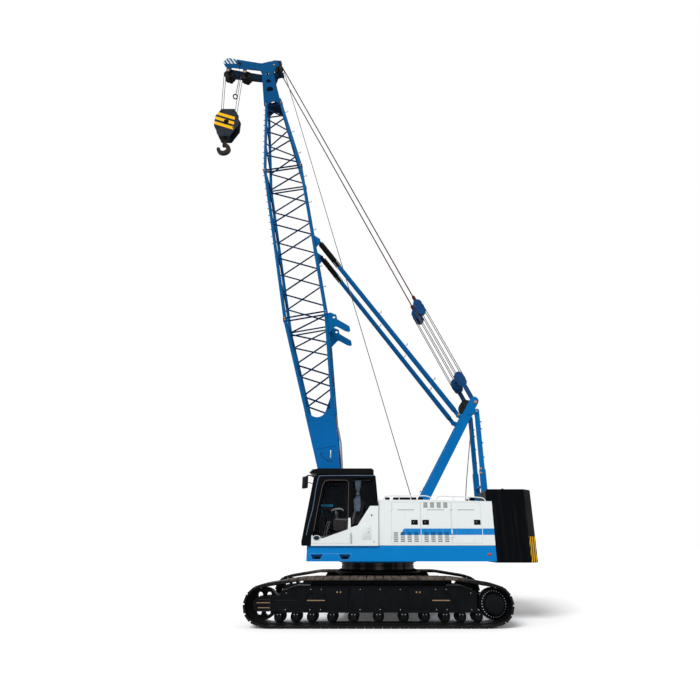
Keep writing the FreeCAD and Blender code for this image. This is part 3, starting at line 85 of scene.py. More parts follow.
class Coat:
    def __init__(self, name, tree=None):
        if tree is None:
            self.material = bpy.data.materials.new(name)
            self.material.use_nodes = True
            tree = self.material.node_tree
        self.tree = tree
        self.tree.nodes.clear()
        self.place = self.node("TexCoord", outlet="Object")
        self.x, self.y, self.z = [
            self.node("SeparateXYZ", inputs={0: self.place}, outlet=i) for i in range(3)]

    def node(self, kind, settings=None, inputs=None, outlet=0):
        made = self.tree.nodes.new("ShaderNode" + kind)
        for key, value in (settings or {}).items():
            if key == "stops":
                ramp = made.color_ramp
                while len(ramp.elements) < len(value):
                    ramp.elements.new(0.5)
                for stop, (spot, level) in zip(ramp.elements, value):
                    stop.position, stop.color = spot, (level, level, level, 1)
            else:
                setattr(made, key, value)
        for key, value in (inputs or {}).items():
            if isinstance(value, Wire):
                self.tree.links.new(value.socket, made.inputs[key])
            else:
                made.inputs[key].default_value = value
        if len(made.outputs):
            return Wire(self, made.outputs[outlet])

    def mix(self, share, first, second):
        return self.node("Mix", {"data_type": "RGBA"}, {0: share, 6: first, 7: second}, 2)

    def spread(self, value, low, high):
        return self.node("MapRange", {"clamp": True}, {0: value, 1: low, 2: high, 3: 0.0, 4: 1.0})

    def noise(self, scale, detail=3.0, stretch=(1, 1, 1)):
        at = self.place
        if stretch != (1, 1, 1):
            at = self.node("Mapping", inputs={"Vector": self.place, "Scale": stretch})
        return self.node("TexNoise", inputs={"Vector": at, "Scale": scale, "Detail": detail})

    def between(self, value, low, high):
        return (value > low) * (value < high)

    def stepped(self, value, low, high, stops):
        # A height that changes along a line, read from a ramp of (place, height) pairs.
        pairs = [((at - low) / (high - low), level / 4) for at, level in stops]
        return self.node("ValToRGB", {"stops": pairs}, {0: self.spread(value, low, high)}) * 4.0

    def surface(self, colour, rough, metal=0.0, coat=0.0, height=None, depth=0.001, gloss=0.2, extra=None):
        sockets = {"Base Color": colour, "Roughness": rough, "Metallic": metal, "Coat Weight": coat,
                   "Specular IOR Level": gloss}
        sockets.update(extra or {})
        if height is not None:
            bump = {"Height": height, "Strength": 0.6, "Distance": depth}
            sockets["Normal"] = self.node("Bump", None, bump)
        self.node("OutputMaterial", None, {"Surface": self.node("BsdfPrincipled", None, sockets)})
        return self.material


def tint(red, green, blue):
    # Screen colour to the linear values that the shader takes.
    def one(v):
        v /= 255
        return v / 12.92 if v < 0.04045 else ((v + 0.055) / 1.055) ** 2.4
    return (one(red), one(green), one(blue), 1.0)


def mixed(first, second, share):
    return tuple(a + (b - a) * share for a, b in zip(first, second))


# Finishes of the machine.

paintTones = dict(
    blue=(10, 126, 200), white=(229, 234, 234), black=(9, 12, 16), boomBlue=(4, 92, 150),
    yellow=(252, 190, 4))
white = tint(*paintTones["white"])
blue = tint(*paintTones["blue"])
yellow = tint(*paintTones["yellow"])

stripe = dict(low=1.96, high=2.11, start=-0.549, slant=0.104 / 0.15, shellEdge=-2.628)


def stripeOn(c, colour, rough, limit):
    # Blue band along the machinery housing, with a slanting front end.
    band = c.between(c.z, stripe["low"], stripe["high"])
    ahead = c.x < (limit - (c.z - stripe["low"]) * (stripe["slant"] if limit > -1 else 0.0))
    return c.mix(band * ahead, colour, blue), rough


def doorCoat(c, colour, rough):
    colour, rough = stripeOn(c, colour, rough, stripe["start"])
    # Painted shade: dark grey on the faces inside the louvre pockets of the door leaves.
    louvreShade = c.between(abs(c.y), 1.5801, 1.5986)
    return c.mix(louvreShade * 0.85, colour, tint(34, 38, 42)), rough + louvreShade * 0.2


def shellCoat(c, colour, rough):
    return stripeOn(c, colour, rough, stripe["shellEdge"])


hazard = dict(low=1.332, high=1.925, front=-3.782, pitch=0.0766, lean=0.34, share=0.44)


def weightCoat(c, colour, rough):
    # Steep slanting yellow bars on the rear corners of the counterweight.
    inside = c.between(c.z, hazard["low"], hazard["high"]) * (c.x < hazard["front"]) * (abs(c.y) > 1.296)
    run = ((c.x + c.z * hazard["lean"]) * -1.0) / hazard["pitch"]
    return c.mix(inside * (run.part() > hazard["share"]), colour, yellow), rough


cabEdge = dict(
    low=-0.1, high=1.95,
    stops=[(-0.1, 2.65), (0.204, 2.65), (0.516, 2.183), (0.688, 2.133), (0.69, 2.36), (0.75, 2.36),
        (0.752, 2.09), (1.371, 1.886), (1.4, 1.95), (1.664, 1.95), (1.668, 0.0), (1.95, 0.0)])


def cabCoat(c, colour, rough):
    # White below a broken edge line, black glass surround above it and at the front.
    edge = c.stepped(c.x, cabEdge["low"], cabEdge["high"], cabEdge["stops"])
    lower = c.z < edge
    panel = c.mix(c.spread(c.noise(1.4, 4.0), 0.4, 0.7) * 0.2, white, tint(205, 214, 216))
    return c.mix(lower, colour, panel), rough


headBars = dict(pitch=0.15, share=0.5, slant=0.62, front=5.9, low=20.5)


def headCoat(c, colour, rough):
    # Painted shade in dark navy on the inner faces of the boom head, and white slanting bars along its tip.
    inner = abs(c.y) < 0.2685
    colour = c.mix(inner, colour, tint(7, 30, 54))
    run = ((c.x - c.z * headBars["slant"]) / headBars["pitch"]).part()
    tip = (c.x > headBars["front"]) * (c.z > headBars["low"]) * (run > headBars["share"]) * (1.0 - inner)
    return c.mix(tip, colour, tint(214, 224, 228)), rough


block = dict(
    x=5.985, sheave=17.35, slope=0.385, first=14.74, pitch=0.262, count=3, share=0.56, front=5.66, face=0.186)


def hookCoat(c, colour, rough):
    # Slanting yellow bars on the cheeks of the hook block.
    run = (c.z - c.x * block["slope"] - block["first"]) / block["pitch"]
    bars = c.between(run, 0.0, block["count"]) * (run.part() < block["share"])
    inside = (c.x > block["front"]) * (abs(c.y) > block["face"])
    return c.mix(bars * inside, colour, yellow), rough


boomForm = dict(
    joints=(1.77, 6.64, 12.8, 16.45), deep=(0.252, 0.66, 0.66, 0.3), wide=(0.58, 0.58, 0.58, 0.255),
    pipe=0.078)
boomLean = radians(79.2)
boomUp = Vector((cos(boomLean), 0, sin(boomLean)))
boomBack = Vector((-boomUp.z, 0, boomUp.x))
boomFoot = Vector((1.06, 0, 2.02))


def boomCoat(c, colour, rough):
    # Chords and plated foot in the boom's blue, the foot lighter; the lacing tubes between them darkened by
    # painted shade.
    ahead, up = c.x - boomFoot.x, c.z - boomFoot.z
    along = ahead * boomUp.x + up * boomUp.z
    front = ahead * boomUp.z - up * boomUp.x
    joints = boomForm["joints"]
    deep, wide = [c.stepped(along, joints[0], joints[-1], list(zip(joints, boomForm[key])))
                  for key in ("deep", "wide")]
    chord = (abs(abs(front) - deep) < boomForm["pipe"]) * (abs(abs(c.y) - wide) < boomForm["pipe"])
    lacing = (1.0 - chord) * (along > 3.46) * (front > deep * -1.0 - 0.06)
    foot = c.spread(along, 3.6, 2.6)
    colour = c.mix(foot * 0.75, colour, tint(8, 100, 172))
    # Painted shade: patchy dark navy on the lacing tubes.
    shaded = c.mix(c.spread(c.noise(2.2), 0.4, 0.7), tint(4, 44, 88), tint(3, 30, 62))
    return c.mix(lacing, colour, shaded), rough


def shoeCoat(c, colour, rough):
    # Brown dust on the upper run and rubbed steel on the outer faces.
    top = c.spread(c.z, 0.95, 1.0) * c.spread(c.noise(5.0, 5.0), 0.26, 0.56)
    colour = c.mix(top * 0.8, colour, tint(112, 98, 86))
    rubbed = c.spread(c.noise(24.0, 4.0), 0.54, 0.74) * 0.3
    return c.mix(rubbed, colour, tint(46, 46, 47)), rough + top * 0.25


def ringCoat(c, colour, rough):
    # Upright rubbed bands on the slewing ring.
    turn = c.noise(1.0, 4.0, (5, 5, 0.2))
    return c.mix(c.spread(turn, 0.46, 0.62) * 0.7, colour, tint(122, 114, 110)), rough


def ropeCoat(c, colour, rough):
    # Lay of the strands along the rope.
    lay = ((c.z + c.x * 0.7 + c.y * 2.5) * 160.0).sine() * 0.5 + 0.5
    return c.mix(lay * 0.65, colour, tint(38, 38, 38)), rough


def pendantCoat(c, colour, rough):
    # Reddish preservative on the lower third of the pendants.
    low = c.spread(c.z, 13.5, 10.2)
    return c.mix(low * 0.75, colour, tint(92, 38, 34)), rough


def sheaveCoat(c, colour, rough):
    worn = c.spread(c.noise(30.0, 3.0), 0.45, 0.6)
    return c.mix(worn * 0.3, colour, tint(96, 92, 88)), rough


finishes = {}
plainLook = dict(
    shade=0.75, blotch=0.35, patch=1.3, grain=90, rough=0.45, roughSpread=0.12, metal=0, coat=0, depth=0.0001,
    streak=0, dust=(118, 106, 90), dustShare=0, dustLow=0.1, dustHigh=1.2, gloss=0.16)


def paint(key, name, tone, over=None, **changes):
    # A weathered finish: soft patches, rain streaks, dust low down and a fine grain.
    look = dict(plainLook, **changes)
    c = Coat(name)
    tone = tint(*tone)
    dark = mixed(tone, (0.0, 0.0, 0.0, 1.0), 1 - look["shade"])
    patches = c.spread(c.noise(look["patch"], 5.0), 0.36, 0.66)
    grain = c.noise(look["grain"], 3.0)
    colour = c.mix(patches * look["blotch"], tone, dark)
    rough = look["rough"] + (patches - 0.5) * look["roughSpread"] + (grain - 0.5) * look["roughSpread"]
    if over:
        colour, rough = over(c, colour, rough)
    if look["streak"]:
        streaks = c.spread(c.noise(1.0, 4.0, (17, 17, 0.9)), 0.52, 0.75)
        colour = c.mix(streaks * look["streak"], colour, mixed(tone, tint(*look["dust"]), 0.55))
    if look["dustShare"]:
        low = c.spread(c.z, look["dustHigh"], look["dustLow"])
        cover = (low * c.spread(c.noise(6.0, 6.0), 0.3, 0.75) * look["dustShare"]).least(1.0)
        colour = c.mix(cover, colour, tint(*look["dust"]))
        rough = rough + cover * 0.3
    finishes[key] = c.surface(colour, rough, look["metal"], look["coat"], grain, look["depth"], look["gloss"])


paint("shoes", "track_shoe_steel", (13, 14, 17), shoeCoat, blotch=0.5, rough=0.55, metal=0.2, depth=0.001,
      dust=(70, 63, 56), dustShare=0.12, dustLow=0, dustHigh=0.4, gloss=0.25)
paint("chassis", "chassis_black_paint", (8, 11, 15), blotch=0.4, depth=0.0003, streak=0.06, dust=(62, 58, 54),
      dustShare=0.14, dustHigh=0.9, gloss=0.08)
paint("ring", "slewing_ring_iron", (24, 23, 25), ringCoat, metal=0.4, depth=0.0003)
paint("platform", "platform_blue_paint", paintTones["blue"], shade=0.9, blotch=0.2, rough=0.4, streak=0.03,
      gloss=0.06)
paint("boom", "boom_blue_paint", paintTones["boomBlue"], boomCoat, shade=0.78, streak=0.05, gloss=0.05)
paint("head", "boom_head_blue_paint", (6, 78, 128), headCoat, shade=0.74, blotch=0.4, rough=0.5, gloss=0.04)
paint("gantry", "gantry_blue_paint", (4, 104, 172), shade=0.8, blotch=0.3, rough=0.42, streak=0.05,
      gloss=0.05)
paint("stopTube", "backstop_blue_paint", (4, 84, 144), shade=0.8, blotch=0.3, streak=0.04, gloss=0.05)
paint("housing", "housing_white_paint", paintTones["white"], shellCoat, shade=0.93, blotch=0.25, rough=0.34,
      coat=0.05, streak=0.1)
paint("doors", "door_white_paint", paintTones["white"], doorCoat, shade=0.94, blotch=0.22, rough=0.34,
      coat=0.05, streak=0.08)
paint("weight", "counterweight_black_paint", (5, 8, 12), weightCoat, shade=0.6, blotch=0.5, grain=38,
      rough=0.5, depth=0.0012, streak=0.06, gloss=0.05)
paint("cab", "cab_black_and_white_paint", paintTones["black"], cabCoat, rough=0.4, gloss=0.05)
paint("black", "black_enamel", (8, 10, 13), depth=0.0002, streak=0.03, gloss=0.08)
paint("blackRubber", "black_rubber", (16, 16, 18), grain=160, rough=0.75, depth=0.0006)
paint("vinyl", "seat_vinyl", (74, 70, 68), grain=260, rough=0.6, depth=0.0008)
paint("trim", "cab_inner_plastic", (150, 150, 150), grain=220, rough=0.6, depth=0.0005)
paint("iron", "engine_iron", (70, 72, 70), rough=0.55, metal=0.5, depth=0.0006)
paint("drum", "winch_drum_steel", (48, 50, 54), rough=0.42, metal=0.6, depth=0.0006)
paint("rope", "wire_rope", (112, 114, 112), ropeCoat, grain=220, metal=0.6, depth=0.0004)
paint("darkRope", "greased_pendant_rope", (30, 24, 26), pendantCoat, grain=220, rough=0.55, metal=0.3,
      depth=0.0004)
paint("hookBlock", "hook_block_paint", (24, 34, 46), hookCoat, blotch=0.4, coat=0.03, depth=0.0004,
      streak=0.06)
paint("hookIron", "forged_hook_iron", (44, 34, 30), shade=0.5, blotch=0.6, patch=7, rough=0.55, metal=0.45,
      depth=0.001, gloss=0.4)
paint("rails", "rail_white_paint", (222, 228, 228), rough=0.34, coat=0.05, streak=0.05)
paint("sheave", "sheave_black_iron", (15, 16, 19), sheaveCoat, rough=0.5, metal=0.4, depth=0.0003)
paint("brass", "yellow_passivated_steel", (205, 150, 64), shade=0.6, blotch=0.5, patch=14, rough=0.36,
      metal=0.7, depth=0.0003, gloss=0.5)
paint("bright", "zinc_plated_steel", (150, 152, 156), patch=10, rough=0.34, metal=0.8, depth=0.0003)
paint("grey", "grey_plastic", (190, 196, 196), grain=300, rough=0.5, depth=0.0003)
paint("steelDark", "oiled_steel", (52, 52, 54), patch=10, rough=0.42, metal=0.6, depth=0.0003)
paint("brassDull", "dusty_brass", (158, 132, 104), shade=0.6, patch=9, rough=0.5, metal=0.2, depth=0.0003)
paint("cabWhite", "cab_white_paint", (222, 230, 231), rough=0.34, coat=0.05, streak=0.08)
paint("seatCloth", "seat_grey_cloth", (196, 188, 184), grain=300, rough=0.85, depth=0.0008)
paint("trimDark", "cab_dark_plastic", (44, 46, 50), grain=220, rough=0.55, depth=0.0004)
# Grey for the joint between housing and deck, and painted shade in the door grooves.
paint("seam", "joint_and_groove_shade_grey", (120, 126, 128), rough=0.6, depth=0.0002)
paint("edge", "cab_edge_moulding", (92, 112, 136), shade=0.6, patch=4, rough=0.4, depth=0.0002)
paint("seal", "window_seal", (112, 102, 94), shade=0.5, patch=5, rough=0.6, depth=0.0002)
paint("louvre", "louvre_shadow_grey", (34, 38, 42), rough=0.6, depth=0.0002)
paint("hose", "hose_grey_sleeve", (150, 146, 134), patch=9, rough=0.6, depth=0.0004, streak=0.2)
paint("lampRed", "red_lens", (176, 74, 40), rough=0.2, coat=0.4, depth=0.0002)
paint("lampClear", "lamp_lens", (150, 158, 164), rough=0.15, coat=0.5, depth=0.0002)
paint("screen", "display_blue", (40, 170, 226), rough=0.25, coat=0.3, depth=0.0002)
paint("latchBlue", "latch_dark_teal", (14, 44, 58), rough=0.3, coat=0.3, depth=0.0002)
paint("curtain", "curtain_cloth", (206, 222, 238), shade=0.62, blotch=0.6, patch=9, grain=420, rough=0.85,
      depth=0.001)
# Light blue for the painted highlight along the step edges.
paint("stepHighlightBlue", "step_edge_painted_highlight", (90, 166, 222), rough=0.34, coat=0.05, streak=0.03)
paint("darkBlue", "block_dark_blue_paint", (6, 62, 112), rough=0.4, coat=0.04, depth=0.0003, streak=0.06)

# Tinted panes: those on the left side let more light through than those on the right, which stand nearly
# opaque and dark as painted shade for the cab's inside.
glass = dict(
    tone=tint(10, 15, 20), smeared=tint(22, 30, 38), side=1.56,
    kinds=(("glass", "tinted_cab_glass", 0.24, 0.95), ("glassFront", "clear_cab_glass", 0.45, 0.45)))
for key, name, near, far in glass["kinds"]:
    c = Coat(name)
    smear = c.spread(c.noise(3.0, 5.0), 0.4, 0.8)
    colour = c.mix(smear * 0.5, glass["tone"], glass["smeared"])
    dense = far + (c.y > glass["side"]) * (near - far)
    finishes[key] = c.surface(colour, 0.05 + smear * 0.06, gloss=0.08, extra={"Alpha": dense})

nodesOfFinish = dict(
    chassis="car_body track_frame idler final_drive bottom_rollers", ring="slewing_ring", shoes="track",
    platform="revolving_platform deck_tank", housing="left_housing right_housing", weight="counterweight",
    cab="cab_shell cab_door", glass="cab_glass cab_door_glass", iron="engine_block", drum="hoist_winches",
    rails="roof_rails", gantry="gantry_struts gantry_rear_links", sheave="gantry_sheaves head_sheaves",
    boom="boom_base_section boom_middle_section boom_top_section", head="boom_head", vinyl="operator_seat",
    darkBlue="stay_lower_block stay_upper_block", rope="luffing_ropes hook_falls", darkRope="stay_pendants",
    stopTube="backstop_tubes", hookBlock="hook_block", hookIron="hook")
finishOfNode = {node: key for key, held in nodesOfFinish.items() for node in held.split()}
for name, thing in nodes.items():
    plain = name.removesuffix("_left").removesuffix("_right")
    key = finishOfNode.get(plain, "doors" if "_door_" in name else "black")
    thing.data.materials.clear()
    thing.data.materials.append(finishes[key])
print("finishes made:", len(finishes))


# Shapes: small makers around the bmesh operators.

def turnedTo(at, way):
    turn = Vector(way).normalized().to_track_quat("Z", "Y").to_matrix().to_4x4()
    return Matrix.Translation(Vector(at)) @ turn


def softened(bm, edges, width, clamp):
    # Rounds each edge once, taken in a fixed order.
    bmesh.ops.bevel(bm, geom=list(dict.fromkeys(edges)), offset=width, offset_type="OFFSET", segments=2,
                    profile=0.5, affect="EDGES", material=-1, clamp_overlap=clamp)


def slab(bm, low, high, edge=0.0, base=Matrix.Identity(4)):
    low, high = Vector(map(min, low, high)), Vector(map(max, low, high))
    spot = Matrix.Translation((low + high) / 2) @ Matrix.Diagonal((high - low)).to_4x4()
    made = bmesh.ops.create_cube(bm, size=1.0, matrix=base @ spot)["verts"]
    if edge:
        softened(bm, [e for v in made for e in v.link_edges], edge, True)


def rod(bm, start, end, radius, sides=16, edge=0.0):
    start, end = Vector(start), Vector(end)
    way = end - start
    made = bmesh.ops.create_cone(bm, cap_ends=True, cap_tris=False, segments=sides, radius1=radius,
                                 radius2=radius, depth=way.length,
                                 matrix=turnedTo((start + end) / 2, way))["verts"]
    if edge:
        rims = [e for v in made for e in v.link_edges if any(len(f.verts) > 4 for f in e.link_faces)]
        softened(bm, rims, edge, False)


def bolt(bm, at, way, size):
    # Hexagon head on a washer.
    at, way = Vector(at), Vector(way).normalized()
    rod(bm, at, at + way * size * 0.18, size * 1.05, 12)
    rod(bm, at + way * size * 0.18, at + way * size * 0.8, size * 0.85, 6)


def boltRing(bm, centre, out, radius, count, size, phase=0.0):
    # Bolts evenly round a centre, on a face that looks along `out`.
    other = Vector((0, 1, 0) if out[2] else (0, 0, 1))
    for i in range(count):
        turn = 2 * pi * (i + phase) / count
        shift = Vector((radius * cos(turn), 0, 0)) + other * radius * sin(turn)
        bolt(bm, Vector(centre) + shift, out, size)


def pins(bm, places, start, end, sides, edge):
    # Round pins that stand out on both sides of the machine, at (x, z, radius) places.
    for sign in (1, -1):
        for x, z, radius in places:
            rod(bm, (x, sign * start, z), (x, sign * end, z), radius, sides, edge)


def turned(bm, at, way, profile, steps, arc=2 * pi):
    # Profile of (radius, height) pairs spun about an axis.
    spot = turnedTo(at, way)
    made = [bm.verts.new(spot @ Vector((r, 0, h))) for r, h in profile]
    edges = [bm.edges.new((made[i], made[i + 1])) for i in range(len(made) - 1)]
    whole = arc > 6.28
    bmesh.ops.spin(bm, geom=made + edges, cent=spot.to_translation(), axis=spot.to_3x3() @ Vector((0, 0, 1)),
                   dvec=(0, 0, 0), angle=arc, steps=steps, use_merge=whole, use_duplicate=False)


def oval(bm, at, way, profile, flat, steps):
    # Turned boss, flattened in height.
    turned(bm, (0, 0, 0), way, profile, steps)
    bmesh.ops.scale(bm, verts=bm.verts, vec=(1.0, 1.0, flat))
    bmesh.ops.translate(bm, verts=bm.verts, vec=at)


def hoop(bm, at, way, radius, wire, steps, sides, arc=2 * pi):
    turns = [2 * pi * i / sides for i in range(sides)]
    profile = [(radius + wire * cos(t), wire * sin(t)) for t in turns]
    turned(bm, at, way, profile + profile[:1], steps, arc)


def plate(bm, outline, start, end):
    # Outline in the fore-and-aft plane, from one side place to the other.
    face = bm.faces.new([bm.verts.new((x, start, z)) for x, z in outline])
    grown = bmesh.ops.extrude_face_region(bm, geom=[face])["geom"]
    fresh = [v for v in grown if isinstance(v, bmesh.types.BMVert)]
    bmesh.ops.translate(bm, verts=fresh, vec=(0, end - start, 0))


def placed(name, data):
    thing = bpy.data.objects.new(name, data)
    bpy.context.scene.collection.objects.link(thing)
    return thing


def built(bm, name):
    mesh = bpy.data.meshes.new(name)
    bm.to_mesh(mesh)
    bm.free()
    return placed(name, mesh)


weldGap = 0.00002


def piece(bm, name, finish, body="upperstructure", smooth=32):
    bmesh.ops.remove_doubles(bm, verts=bm.verts, dist=weldGap)
    bmesh.ops.recalc_face_normals(bm, faces=bm.faces)
    thing = built(bm, name)
    thing.data.shade_smooth()
    thing.data.set_sharp_from_angle(angle=radians(smooth))
    thing.data.materials.append(finishes[finish])
    if body:
        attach(thing, body)
    return thing


def curved(points, steps):
    # Smooth path through the points.
    points = [Vector(p) for p in points]
    ends = [points[0] * 2 - points[1]] + points + [points[-1] * 2 - points[-2]]
    path = []
    for i in range(1, len(ends) - 2):
        a, b, c, d = ends[i - 1:i + 3]
        for k in range(steps):
            t = k / steps
            path.append((b * 2 + (c - a) * t + (a * 2 - b * 5 + c * 4 - d) * t * t
                         + (b * 3 - a - c * 3 + d) * t * t * t) / 2)
    return path + [points[-1]]


def tube(bm, path, radius, sides=8):
    path = [Vector(p) for p in path]
    rings, normal = [], None
    for i, at in enumerate(path):
        way = (path[min(i + 1, len(path) - 1)] - path[max(i - 1, 0)]).normalized()
        normal = way.orthogonal() if normal is None else normal - way * normal.dot(way)
        normal.normalize()
        other = way.cross(normal)
        turns = [2 * pi * k / sides for k in range(sides)]
        rings.append([bm.verts.new(at + (normal * cos(t) + other * sin(t)) * radius) for t in turns])
    for low, high in zip(rings, rings[1:]):
        for k in range(sides):
            bm.faces.new((low[k], low[(k + 1) % sides], high[(k + 1) % sides], high[k]))
    bm.faces.new(rings[0][::-1])
    bm.faces.new(rings[-1])


bothSides = (("left", 1), ("right", -1))
across = Vector((0, 1, 0))


def onBoom(along, side, front):
    return boomFoot + boomUp * along + across * side - boomBack * front


def chordAt(along):
    # Half depth and half width between the chords, as the boom tapers.
    joints, deep, wide = boomForm["joints"], boomForm["deep"], boomForm["wide"]
    if along < joints[1]:
        return deep[0] + (deep[1] - deep[0]) * (along - joints[0]) / (joints[1] - joints[0]), wide[0]
    share = max(0.0, (along - joints[2]) / (joints[3] - joints[2]))
    return deep[2] + (deep[3] - deep[2]) * share, wide[2] + (wide[3] - wide[2]) * share


# Undercarriage.

rollerPlaces = (-2.26, -1.88, -1.51, -1.05, -0.57, 0.0, 0.57, 1.05, 1.51, 1.88, 2.26)
drive = dict(
    x=-2.65, z=0.47,
    rings=(("bolts", "grey", 2.053, 0.272, 30, 0.0105, 0.0),
        ("cap_bolts", "steelDark", 2.2425, 0.13, 12, 0.009, 0.5)))
adjuster = dict(
    y=2.147, inner=2.475, outer=2.74, radius=0.01, rods=((2.785, 0.501), (2.745, 0.4)), frame=(0.562, 0.335),
    line=(1.909, 2.366, 0.552))
frameTrim = dict(
    plates=((-0.62, 0.62, 0.335, 0.8), (1.235, 1.86, 0.335, 0.8), (-1.86, -1.235, 0.335, 0.8)), beam=0.951,
    half=0.259, low=0.359, high=0.806, rod=(1.228, 1.631, 0.548), covered=1.9,
    hook=((1.645, 2.16, 0.676), (1.66, 2.162, 0.63), (1.683, 2.16, 0.587)),
    grip=((1.5, 2.147, 0.7), (1.51, 2.175, 0.705), (1.6, 2.175, 0.705), (1.61, 2.147, 0.7)))
for side, sign in bothSides:
    out = across * sign
    for name, finish, y, radius, count, size, phase in drive["rings"]:
        bm = bmesh.new()
        boltRing(bm, (drive["x"], sign * y, drive["z"]), out, radius, count, size, phase)
        piece(bm, "final_drive_%s_%s" % (name, side), finish, "undercarriage")

    bm = bmesh.new()  # bolts of the roller brackets and frame covers
    for x in rollerPlaces:
        for step in (-0.034, 0.034):
            bolt(bm, (x + step, sign * 2.1275, 0.262), out, 0.009)
    for x in (-2.12, -1.56, -1.32, -0.5, -0.04, 0.42, 1.32, 1.56, 2.12):
        y, top = (2.1455, 0.775) if abs(x) < frameTrim["covered"] else (2.1405, 0.7)
        for z in (0.362, top):
            bolt(bm, (x, sign * y, z), out, 0.0085)
    piece(bm, "frame_bolts_" + side, "grey", "undercarriage")

    bm = bmesh.new()  # cover plates on the frame's outer wall
    for x0, x1, z0, z1 in frameTrim["plates"]:
        slab(bm, (x0, sign * 2.1396, z0), (x1, sign * 2.1455, z1), 0.0025)
    piece(bm, "frame_cover_plates_" + side, "chassis", "undercarriage")

    bm = bmesh.new()  # end plates of the cross beams, with their grips
    for way in (1, -1):
        x = way * frameTrim["beam"]
        slab(bm, (x - frameTrim["half"], sign * 2.164, frameTrim["low"]),
             (x + frameTrim["half"], sign * 2.174, frameTrim["high"]), 0.003)
        turned(bm, (x - way * 0.04, sign * 2.174, 0.409), out, [(0.0, 0.016), (0.034, 0.016), (0.038, 0.0)],
               8)
        slab(bm, (way * 1.43 - 0.205, sign * 2.144, 0.522), (way * 1.43 + 0.205, sign * 2.151, 0.578), 0.003)
        tube(bm, [(way * x, sign * y, z) for x, y, z in frameTrim["hook"]], 0.011)
        tube(bm, curved([(way * x, sign * y, z) for x, y, z in frameTrim["grip"]], 4), 0.008)
    for x in (0.3, -0.19):
        tube(bm, [(x, sign * 2.15, 0.735), (x, sign * 2.152, 0.66), (x + 0.02, sign * 2.152, 0.648)], 0.008)
    piece(bm, "frame_end_plates_" + side, "chassis", "undercarriage")

    bm = bmesh.new()  # track adjuster rods on the idler's fork, in their dark frame
    y = sign * adjuster["y"]
    for x0, z in adjuster["rods"]:
        rod(bm, (x0, y, z), (adjuster["inner"], y, z), adjuster["radius"], 12, edge=0.002)
    piece(bm, "track_adjuster_rods_" + side, "brassDull", "undercarriage")
    bm = bmesh.new()
    x0, x1, z = adjuster["line"]
    rod(bm, (x0, y, z), (x1, y, z), 0.006, 8)
    tube(bm, [(adjuster["inner"], y, z) for z in adjuster["frame"]], adjuster["radius"])
    for z in adjuster["frame"]:
        tube(bm, [(adjuster["outer"], y, z), (adjuster["inner"], y, z)], adjuster["radius"])
    piece(bm, "track_adjuster_frame_" + side, "steelDark", "undercarriage")

    bm = bmesh.new()  # beam pins and grease rods
    for way in (1, -1):
        for x in (0.948, 0.871):
            rod(bm, (way * x, sign * 2.172, 0.72), (way * x, sign * 2.19, 0.72), 0.019, edge=0.003)
        start, end, z = frameTrim["rod"]
        rod(bm, (way * start, sign * 2.158, z), (way * end, sign * 2.158, z), 0.012, 10)
    piece(bm, "frame_pins_" + side, "brassDull", "undercarriage")

bm = bmesh.new()
boltRing(bm, (0, 0, 1.056), (0, 0, 1), 1.018, 48, 0.017, 0.5)
piece(bm, "slewing_ring_bolts", "steelDark", "undercarriage")
print("undercarriage details made")


# Housing: grooves, latches, upper slots, hinge pins and joints.

